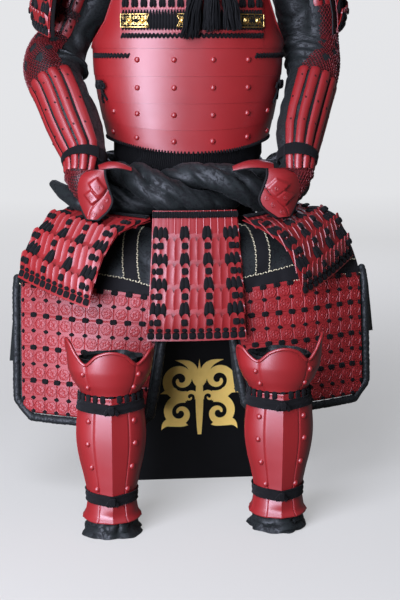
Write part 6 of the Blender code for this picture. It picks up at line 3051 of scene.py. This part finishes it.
# ------------------------------------------------------------------ legs
SHIN_SECTIONS = ((0.036, 0.063, 0.064, 0.052), (0.052, 0.058, 0.058, 0.050),
                 (0.085, 0.054, 0.052, 0.048), (0.125, 0.060, 0.054, 0.050),
                 (0.180, 0.072, 0.058, 0.054), (0.225, 0.077, 0.060, 0.056),
                 (0.275, 0.074, 0.059, 0.055), (0.322, 0.067, 0.056, 0.052))
KNEE_SECTIONS = ((0.326, 0.067, 0.057, 0.053), (0.350, 0.080, 0.064, 0.059),
                 (0.380, 0.091, 0.070, 0.064), (0.455, 0.096, 0.074, 0.068))
LINER_SECTIONS = ((0.000, 0.064, 0.063, 0.054), (0.020, 0.060, 0.060, 0.053),
                  (0.050, 0.050, 0.048, 0.044), (0.085, 0.046, 0.045, 0.042),
                  (0.180, 0.064, 0.050, 0.048), (0.225, 0.069, 0.052, 0.050),
                  (0.322, 0.059, 0.048, 0.046), (0.395, 0.070, 0.056, 0.052))
# degrees from the front, towards the outer side, and height of the knee's upper edge
KNEE_EDGE = ((-108, 0.380), (-86, 0.418), (-66, 0.422), (-50, 0.406), (-36, 0.398),
             (-18, 0.420), (0, 0.428), (18, 0.420), (36, 0.398), (50, 0.414), (66, 0.440),
             (84, 0.446), (108, 0.404))


@dataclass
class ShinGuard:
    """A shin guard and its knee guard, their cloth liner and the two bands that tie them."""

    side: Side
    spread_out: float = 0.188
    shift: float = -0.030
    centre_y: float = -0.515
    shin_reach: float = 117.0   # degrees from the front to the side edges
    facet: float = 31.0         # degrees from the front to the seam beside the flat faces
    ridge: float = 0.0062       # how far the front ridge stands out
    knee_reach: float = 108.0   # degrees from the front to the knee guard's side edges
    knee_panel: float = 36.0    # degrees from the front to the knee's panel lines
    wall: float = 0.0024
    tie_wall: float = 0.0022
    lining_wall: float = 0.0014
    lining_in: float = 0.0046   # how far the knee's lining lies behind its face
    rim: float = 0.0036         # radius of the bead along the knee's upper edge
    side_rim: float = 0.0026
    hem_height: float = 0.3190  # height of the short laces under the knee guard
    upper_tie: tuple[float, float] = (0.288, 0.312)
    lower_tie: tuple[float, float] = (0.076, 0.101)

    def round_leg(self, table: Sequence[Sequence[float]], across: float, height: float,
                  out: float) -> Vector:
        """A point round the leg; across is an angle to the viewer's right.

        Args:
            table: sections of the piece: height, half width, depth in front and behind.
            across: place across, to the viewer's right.
            height: height above the floor.
            out: distance outside the surface.

        Returns:
            The point.
        """
        centre = Vector((self.side.value * self.spread_out + self.shift, self.centre_y, 0))
        return centre + oval_at(table, across, height, out)

    def on_shin(self, across: float, height: float, out: float) -> Vector:
        """A point on the shin guard."""
        return self.round_leg(SHIN_SECTIONS, across, height, out)

    def on_knee(self, across: float, share: float, out: float) -> Vector:
        """A point on the knee guard; share runs from its base, 0, to its top, 1.

        Args:
            across: angle to the viewer's right.
            share: the share of its height.
            out: distance outside the surface.

        Returns:
            The point.
        """
        outward = math.degrees(across) * self.side.value
        top = read_at(KNEE_EDGE, outward)[1]
        base = KNEE_SECTIONS[0][0]
        return self.round_leg(KNEE_SECTIONS, across, base + (top - base) * share, out)

    def faceted(self, across: float, height: float, out: float) -> Vector:
        """A point on the shin plate, whose front is two flat faces that meet in a ridge.

        Args:
            across: angle to the viewer's right.
            height: height above the floor.
            out: distance outside the surface.

        Returns:
            The point.
        """
        degrees = math.degrees(across)
        if abs(degrees) >= self.facet:
            return self.on_shin(across, height, out)
        keel = self.ridge * smooth((height - 0.040) / 0.03)
        front = self.on_shin(0.0, height, keel + out)
        side = self.on_shin(copysign(radians(self.facet), across), height, out)
        return front.lerp(side, math.tan(abs(across) * 0.9) / math.tan(
            radians(self.facet * 0.9)))

    def shin_relief(self, across: float, height: float) -> float:
        """Height of the shin's panel seams, rolled side edges and flared foot.

        Args:
            across: angle to the viewer's right.
            height: height above the floor.

        Returns:
            The height.
        """
        degrees = math.degrees(across)
        seam = -0.0016 * bell(abs(degrees) - self.facet, 1.1)
        edge = self.shin_reach - abs(degrees)
        roll = 0.0030 * bell(edge, 3.4)
        roll += 0.0016 * bell(abs(degrees) - 80, 2.4)
        lip = 0.0034 * bell(height - 0.0385, 0.0042)
        upper = 0.0012 * bell(height - 0.3205, 0.004)
        return 0.0012 + seam + roll + lip + upper

    def shin(self, shop: Workshop) -> None:
        """The shin guard with its rivets.

        Args:
            shop: the workshop.
        """
        turns = [radians(place) for place in spread(-self.shin_reach, self.shin_reach, 144)]
        levels = spread(0.036, 0.066, 12) + spread(0.0735, 0.316, 34) + spread(0.3180, 0.322, 3)
        rows = lay_rows(self.faceted, turns, levels, self.shin_relief, -0.0012)
        plate = shell("shin_plate", rows, self.wall, shop.finish.red, sharp=30.0)
        spots = []
        for hand in (-1, 1):
            for degrees, height in ((42.0, 0.268), (43.0, 0.216), (41.0, 0.162), (37.0, 0.110)):
                place = hand * radians(degrees)
                spots.append(spot_on(self.on_shin, place, height,
                                     self.shin_relief(place, height) - 0.0010))
        rivets = shop.strewer.strew("shin_rivets", shop.rivet, spots, shop.finish.red)
        whole = joined(f"shin_{self.side.label}", [plate, rivets])
        shop.hand_over(whole, "red_lacquer", f"shin_guard_{self.side.label}")

    def knee_relief(self, across: float, share: float) -> float:
        """Height of the knee's central dome and panel lines.

        Args:
            across: angle to the viewer's right.
            share: share of the knee guard's height.

        Returns:
            The height.
        """
        degrees = math.degrees(across)
        height = -0.0016 * bell(abs(degrees) - self.knee_panel, 1.3)
        dome = 0.0030 * cos(pi / 2 * clamp(abs(degrees) / self.knee_panel))
        bulge = sin(pi * clamp(share * 0.9 + 0.05))
        return height + dome + 0.0028 * bulge

    def knee(self, shop: Workshop) -> None:
        """The knee guard: a scalloped plate with a rolled bead along its upper edge.

        Args:
            shop: the workshop.
        """
        turns = [radians(place) for place in spread(-self.knee_reach, self.knee_reach, 118)]
        rows = lay_rows(self.on_knee, turns, spread(0.0, 1.0, 26), self.knee_relief, -0.0012)
        parts = [shell("knee_plate", rows, self.wall, shop.finish.red, sharp=30.0)]
        fine = [radians(place) for place in spread(-107.0, 107.0, 150)]
        rim = [self.on_knee(place, 0.992, self.knee_relief(place, 1.0) - 0.0004)
               for place in fine]
        parts.append(shop.corder.run("knee_rim", [rim], self.rim, shop.finish.red, 10))
        sides = []
        for hand in (-1, 1):
            place = hand * radians(107.0)
            sides.append([self.on_knee(place, share, 0.0) for share in spread(0.02, 0.98, 14)])
        parts.append(shop.corder.run("knee_sides", sides, self.side_rim, shop.finish.red, 8))
        spots = []
        for degrees, share in ((-42.0, 0.66), (42.0, 0.66), (-40.0, 0.26), (40.0, 0.26)):
            place = radians(degrees)
            spots.append(spot_on(self.on_knee, place, share,
                                 self.knee_relief(place, share) - 0.0010, 0.0,
                                 (0.92, 0.92, 1.0)))
        inner = [[self.on_knee(place, share, -self.lining_in) for place in turns[::4]]
                 for share in spread(0.02, 0.985, 12)]
        parts.append(shell("knee_lining", inner, self.lining_wall, shop.finish.leather))
        parts.append(shop.strewer.strew("knee_rivets", shop.rivet, spots, shop.finish.red))
        whole = joined(f"knee_{self.side.label}", parts)
        shop.hand_over(whole, "red_lacquer", f"knee_guard_{self.side.label}")
        spots = []
        for step in range(13):
            place = radians(-90.0 + 15.0 * step)
            spots.append(spot_on(self.on_shin, place, self.hem_height,
                                 self.shin_relief(place, 0.30) + 0.0004, 0.0,
                                 (0.82, 1.30, 0.9)))
        tabs = shop.strewer.strew(f"knee_lacing_{self.side.label}", shop.knot, spots,
                                  shop.finish.braid, 0.05, 4)
        shop.hand_over(tabs, "black_braid")

    def liner(self, shop: Workshop) -> None:
        """The crumpled cloth liner, slack at the floor and gathered inside the knee.

        Args:
            shop: the workshop.
        """
        turns = around(96)

        def surface(across: float, height: float, out: float) -> Vector:
            """A point on the liner."""
            return self.round_leg(LINER_SECTIONS, across, height, out)

        def relief(across: float, height: float) -> float:
            """Height of the liner's folds, deep where the shin guard leaves it free.

            Args:
                across: angle to the viewer's right.
                height: height above the floor.

            Returns:
                The height.
            """
            free = max(smooth((0.050 - height) / 0.025), smooth((height - 0.325) / 0.03),
                       smooth((abs(math.degrees(across)) - 118) / 14))
            place = Vector((cos(across) * 0.05, sin(across) * 0.05,
                            height * 1.7 + self.side.value))
            fold = crumple(place, 0.032, 0.0085, 0.2)
            flare = 0.006 * smooth((0.016 - height) / 0.016) * (
                0.4 + sin(across * 3 + self.side.value) ** 2)
            return free * (fold - 0.0008) + flare

        levels = spread(0.0, 0.060, 12) + spread(0.075, 0.320, 15) + spread(0.325, 0.404, 14)
        rows = lay_rows(surface, turns, levels, relief)
        for index, height in enumerate(levels):
            if height < 0.002:
                rows[index] = [Vector((point.x, point.y, 0.0006)) for point in rows[index]]
        cloth = shell(f"shin_cloth_{self.side.label}", rows, self.wall, shop.finish.brocade,
                      closed=True)
        shop.hand_over(cloth, "black_brocade", f"shin_liner_{self.side.label}")

    def band(self, shop: Workshop, node: str, span: tuple[float, float], dip: float) -> None:
        """A flat tie round the leg with its knot in front.

        Args:
            shop: the workshop.
            node: the solid that it stands for.
            span: height of its lower and upper edges.
            dip: how far it drops in front.
        """
        turns = around(96)
        middle, half = (span[0] + span[1]) / 2, (span[1] - span[0]) / 2

        def surface(across: float, level: float, out: float) -> Vector:
            """A point on the band, which drops towards its knot in front.

            Args:
                across: angle to the viewer's right.
                level: place up the band, from -1 to 1.
                out: distance outside the surface.

            Returns:
                The point.
            """
            degrees = degrees_round(across)
            height = middle + level * half * 0.94 - dip * bell(degrees, 24.0)
            keel = 0.0052 * bell(degrees, 12.0)
            return self.on_shin(across, height, out + 0.0044 + keel)

        def relief(across: float, level: float) -> float:
            """Height of the band's long soft pleats."""
            pleat = 0.0008 * cos(level * 5.2 + sin(across * 2) * 0.8)
            return pleat + 0.0006 * noise.noise(Vector((across * 6, level * 2, middle * 40)))

        rows = lay_rows(surface, turns, spread(-1.0, 1.0, 8), relief)
        parts = [shell("band", rows, self.tie_wall, shop.finish.braid, closed=True)]
        spots = []
        for x, level, roll, size in ((0.0, 0.0, 0.1, (1.0, 1.25, 1.6)),
                                     (-0.13, -0.35, -0.5, (0.62, 1.25, 1.0)),
                                     (0.12, -0.45, 0.6, (0.62, 1.15, 1.0))):
            spots.append(spot_on(surface, x, level, 0.0012, roll, size))
        parts.append(shop.strewer.strew("tie_knot", shop.knot, spots, shop.finish.braid))
        whole = joined(f"{node}_band_{self.side.label}", parts)
        shop.hand_over(whole, "black_braid", f"{node}_{self.side.label}")

    def build(self, shop: Workshop) -> None:
        """Build the leg's pieces.

        Args:
            shop: the workshop.
        """
        self.liner(shop)
        self.shin(shop)
        self.knee(shop)
        self.band(shop, "knee_tie", self.upper_tie, 0.003)
        self.band(shop, "ankle_tie", self.lower_tie, 0.002)


@dataclass
class SideTies:
    """The knotted cord at each side of the cuirass, with its two free ends."""

    degrees: float = 66.0       # where each knot lies, from the front
    height: float = 0.975
    loop_radius: float = 0.0034
    bow_radius: float = 0.0030
    end_radius: float = 0.0027

    def knot(self, shop: Workshop, cuirass: Cuirass, side: Side) -> None:
        """One knot and its ends.

        Args:
            shop: the workshop.
            cuirass: the cuirass that it hangs from.
            side: which side.
        """
        middle = side.value * radians(self.degrees)

        def at(x: float, z: float, out: float) -> Vector:
            """A point beside the knot, in metres across and up."""
            return cuirass.surface(middle + x / 0.19, self.height + z, out)

        loop = []
        for turn in around(48):
            loop.append(at(0.0105 * sin(2 * turn), 0.0085 * cos(3 * turn),
                           0.0095 + 0.0035 * sin(3 * turn + 0.5)))
        parts = [shop.corder.run("knot_loops", [loop], self.loop_radius, shop.finish.braid, 10,
                                 closed=True)]
        bows = []
        for hand in (-1, 1):
            bow = []
            for share in spread(0.0, 1.0, 24):
                turn = tau * share
                bow.append(at(hand * (0.004 + 0.013 * (1 - cos(turn)) / 2 * 1.3),
                              0.0062 * sin(turn) - 0.003 * (1 - cos(turn)) / 2,
                              0.0085 + 0.002 * sin(pi * share)))
            bows.append(bow)
        parts.append(shop.corder.run("knot_bows", bows, self.bow_radius, shop.finish.braid, 8))
        whole = joined(f"side_knot_{side.label}", parts)
        shop.hand_over(whole, "black_braid", f"side_tie_{side.label}")
        for number, (lean, length) in enumerate(((-0.010, 0.046), (0.012, 0.036))):
            path = []
            for share in spread(0.0, 1.0, 16):
                sway = 0.0016 * sin(share * 7 + number * 2)
                path.append(at(lean * share + sway, -0.004 - length * share,
                               0.0075 - 0.0035 * share))
            name = f"side_tie_end_{side.label}_{number + 1}"
            end = shop.corder.run(name, [path], self.end_radius, shop.finish.braid, 8)
            shop.hand_over(end, "black_braid")
            run = distances(path)[-1]

    def build(self, shop: Workshop, cuirass: Cuirass) -> None:
        """Build both knots."""
        for side in Side:
            self.knot(shop, cuirass, side)


# ------------------------------------------------------------------ studio
@dataclass
class Studio:
    """Pale floor and backdrop, soft light and the camera."""

    eye: tuple[float, float, float] = (-0.28, -3.2, 1.083)
    yaw: float = 5.55
    pitch: float = 11.7
    lens: float = 75.42
    glow: float = 0.38          # how brightly the backdrop behind the armour glows
    fill: float = 0.40          # how brightly the whole floor glows, to soften the shadows
    sky: float = 0.10           # strength of the dim light from all round
    tint: tuple[float, float, float] = (0.74, 0.78, 1.0)    # colour of every lamp
    # each lamp: its name, its place, where it aims, its size and its power in watts
    lamps: tuple[tuple, ...] = (
        ("key", (-1.75, -3.0, 1.50), (0.0, -0.2, 0.60), (2.2, 2.5), 214.0),
        ("low", (-1.9, -2.7, 0.22), (0.0, -0.5, 0.25), (1.0, 0.36), 60.0),
        ("top", (-0.9, -2.0, 3.2), (0.0, -0.2, 0.80), (1.4, 1.4), 70.0),
        ("rim", (0.9, 2.8, 2.0), (0.0, 0.0, 0.70), (2.0, 2.0), 26.0))
    paper: tuple[str, str] = ("#98958a", "#9b988d")
    cloud: float = 0.8          # size of the paper's faint clouds

    def build(self) -> None:
        """Set up the floor, the lights and the camera."""
        self.floor()
        self.lights()
        yaw, pitch = radians(self.yaw), radians(self.pitch)
        ahead = Vector((sin(yaw) * cos(pitch), cos(yaw) * cos(pitch),
                        -sin(pitch)))
        data = bpy.data.cameras.new("camera")
        data.lens = self.lens
        data.sensor_width = 36.0
        camera = bpy.data.objects.new("camera", data)
        camera.location = self.eye
        camera.rotation_euler = ahead.to_track_quat("-Z", "Y").to_euler()
        bpy.context.scene.collection.objects.link(camera)
        bpy.context.scene.camera = camera
        bpy.context.scene.view_settings.view_transform = "Standard"

    def floor(self) -> None:
        """A pale floor that curves up to a backdrop on every side."""
        material, tree, shader, place = start_material("pale_paper", own_map=False)
        cloud = add_node(tree, "ShaderNodeTexNoise",
                         {"Vector": place, "Scale": 1 / self.cloud, "Detail": 2.0})
        tone = add_node(tree, "ShaderNodeMix", {SHARE: cloud, LOW: colour(self.paper[0]),
                                                HIGH: colour(self.paper[1])}, data_type="RGBA")
        behind = add_node(tree, "ShaderNodeSeparateXYZ", {0: place}).outputs[1]
        far = add_node(tree, "ShaderNodeMath", {0: behind, 1: 0.22, 2: -0.10},
                       operation="MULTIPLY_ADD", use_clamp=True)
        glow = add_node(tree, "ShaderNodeMath", {0: far, 1: self.glow, 2: self.fill},
                        operation="MULTIPLY_ADD")
        connect(tree, shader, {"Base Color": tone.outputs[MIXED], "Roughness": 0.9,
                               "Emission Color": colour("#f4f5f8"),
                               "Emission Strength": glow})
        bowl = [(radius, height - 0.0005) for radius, height in (
            (0.01, 0.0), (4.0, 0.0), (6.0, 0.12), (7.5, 0.8), (8.5, 2.4), (8.9, 5.0))]
        backdrop = new_object("studio_floor", revolve("studio_floor", bowl, 48))
        settle(backdrop, material, 80.0)
        backdrop.visible_diffuse = False
        backdrop.visible_glossy = False

    def lights(self) -> None:
        """A dim sky, a broad key light on the left and weaker lights above and behind."""
        world = bpy.context.scene.world or bpy.data.worlds.new("studio")
        bpy.context.scene.world = world
        world.use_nodes = True
        sky = world.node_tree.nodes["Background"]
        connect(world.node_tree, sky, {"Color": colour("#f2f4f8"), "Strength": self.sky})
        for name, place, aim, size, power in self.lamps:
            data = bpy.data.lights.new(name, "AREA")
            data.color = self.tint
            data.shape = "RECTANGLE"
            data.size, data.size_y = size
            data.energy = power
            lamp = bpy.data.objects.new(name, data)
            lamp.location = place
            lamp.rotation_euler = (Vector(aim) - Vector(place)).to_track_quat(
                "-Z", "Y").to_euler()
            bpy.context.scene.collection.objects.link(lamp)


def main() -> None:
    """Build and dress every sub-assembly in order."""
    logging.basicConfig(level=logging.INFO, format="%(message)s")
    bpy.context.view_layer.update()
    shop = Workshop(Palette.mixed(), Strewer(), Corder())
    Studio().build()
    ArmourBox().build(shop)
    DisplayStand().build(shop)
    cuirass = Cuirass()
    cuirass.build(shop)
    ShoulderStraps().build(shop, cuirass)
    ChestLacing().build(shop, cuirass)
    WaistLacing().build(shop)
    TwistedBelt().build(shop)
    SkirtAndGuards().build(shop)
    ThighApron(Side.RIGHT, drop=0.026, tape_foot=0.15).build(shop)
    ThighApron(Side.LEFT, drop=0.002, tape_foot=0.18).build(shop)
    right_hand = HandGuard(Side.RIGHT, shift=0.0)
    left_hand = HandGuard(Side.LEFT, shift=-0.050, opened=1.28,
                          pads=((0.42, 2.10, 1.75, 1.12), (-0.10, 3.05, 1.55, 0.98)))
    right_sleeve = ArmouredSleeve(
        Side.RIGHT, mail_edge=((0.0, 78.0), (5.0, 84.0), (6.5, 100.0), (11.5, 104.0)),
        plate_rows=((0.05, 1.35), (1.75, 3.0)),
        mail_spans=((1.32, 1.80), (3.0, 6.5), (11.7, 12.9)))
    left_sleeve = ArmouredSleeve(
        Side.LEFT, mail_edge=((0.0, 62.0), (4.6, 66.0), (6.5, 104.0), (11.5, 104.0)),
        plate_rows=((0.05, 1.0),), mail_spans=((1.0, 6.5), (11.7, 12.9)))
    right_sleeve.build(shop, right_hand)
    left_sleeve.build(shop, left_hand)
    right_hand.build(shop)
    left_hand.build(shop)
    for side in Side:
        ShinGuard(side).build(shop)
    SideTies().build(shop, cuirass)


if __name__ == "__main__":
    main()
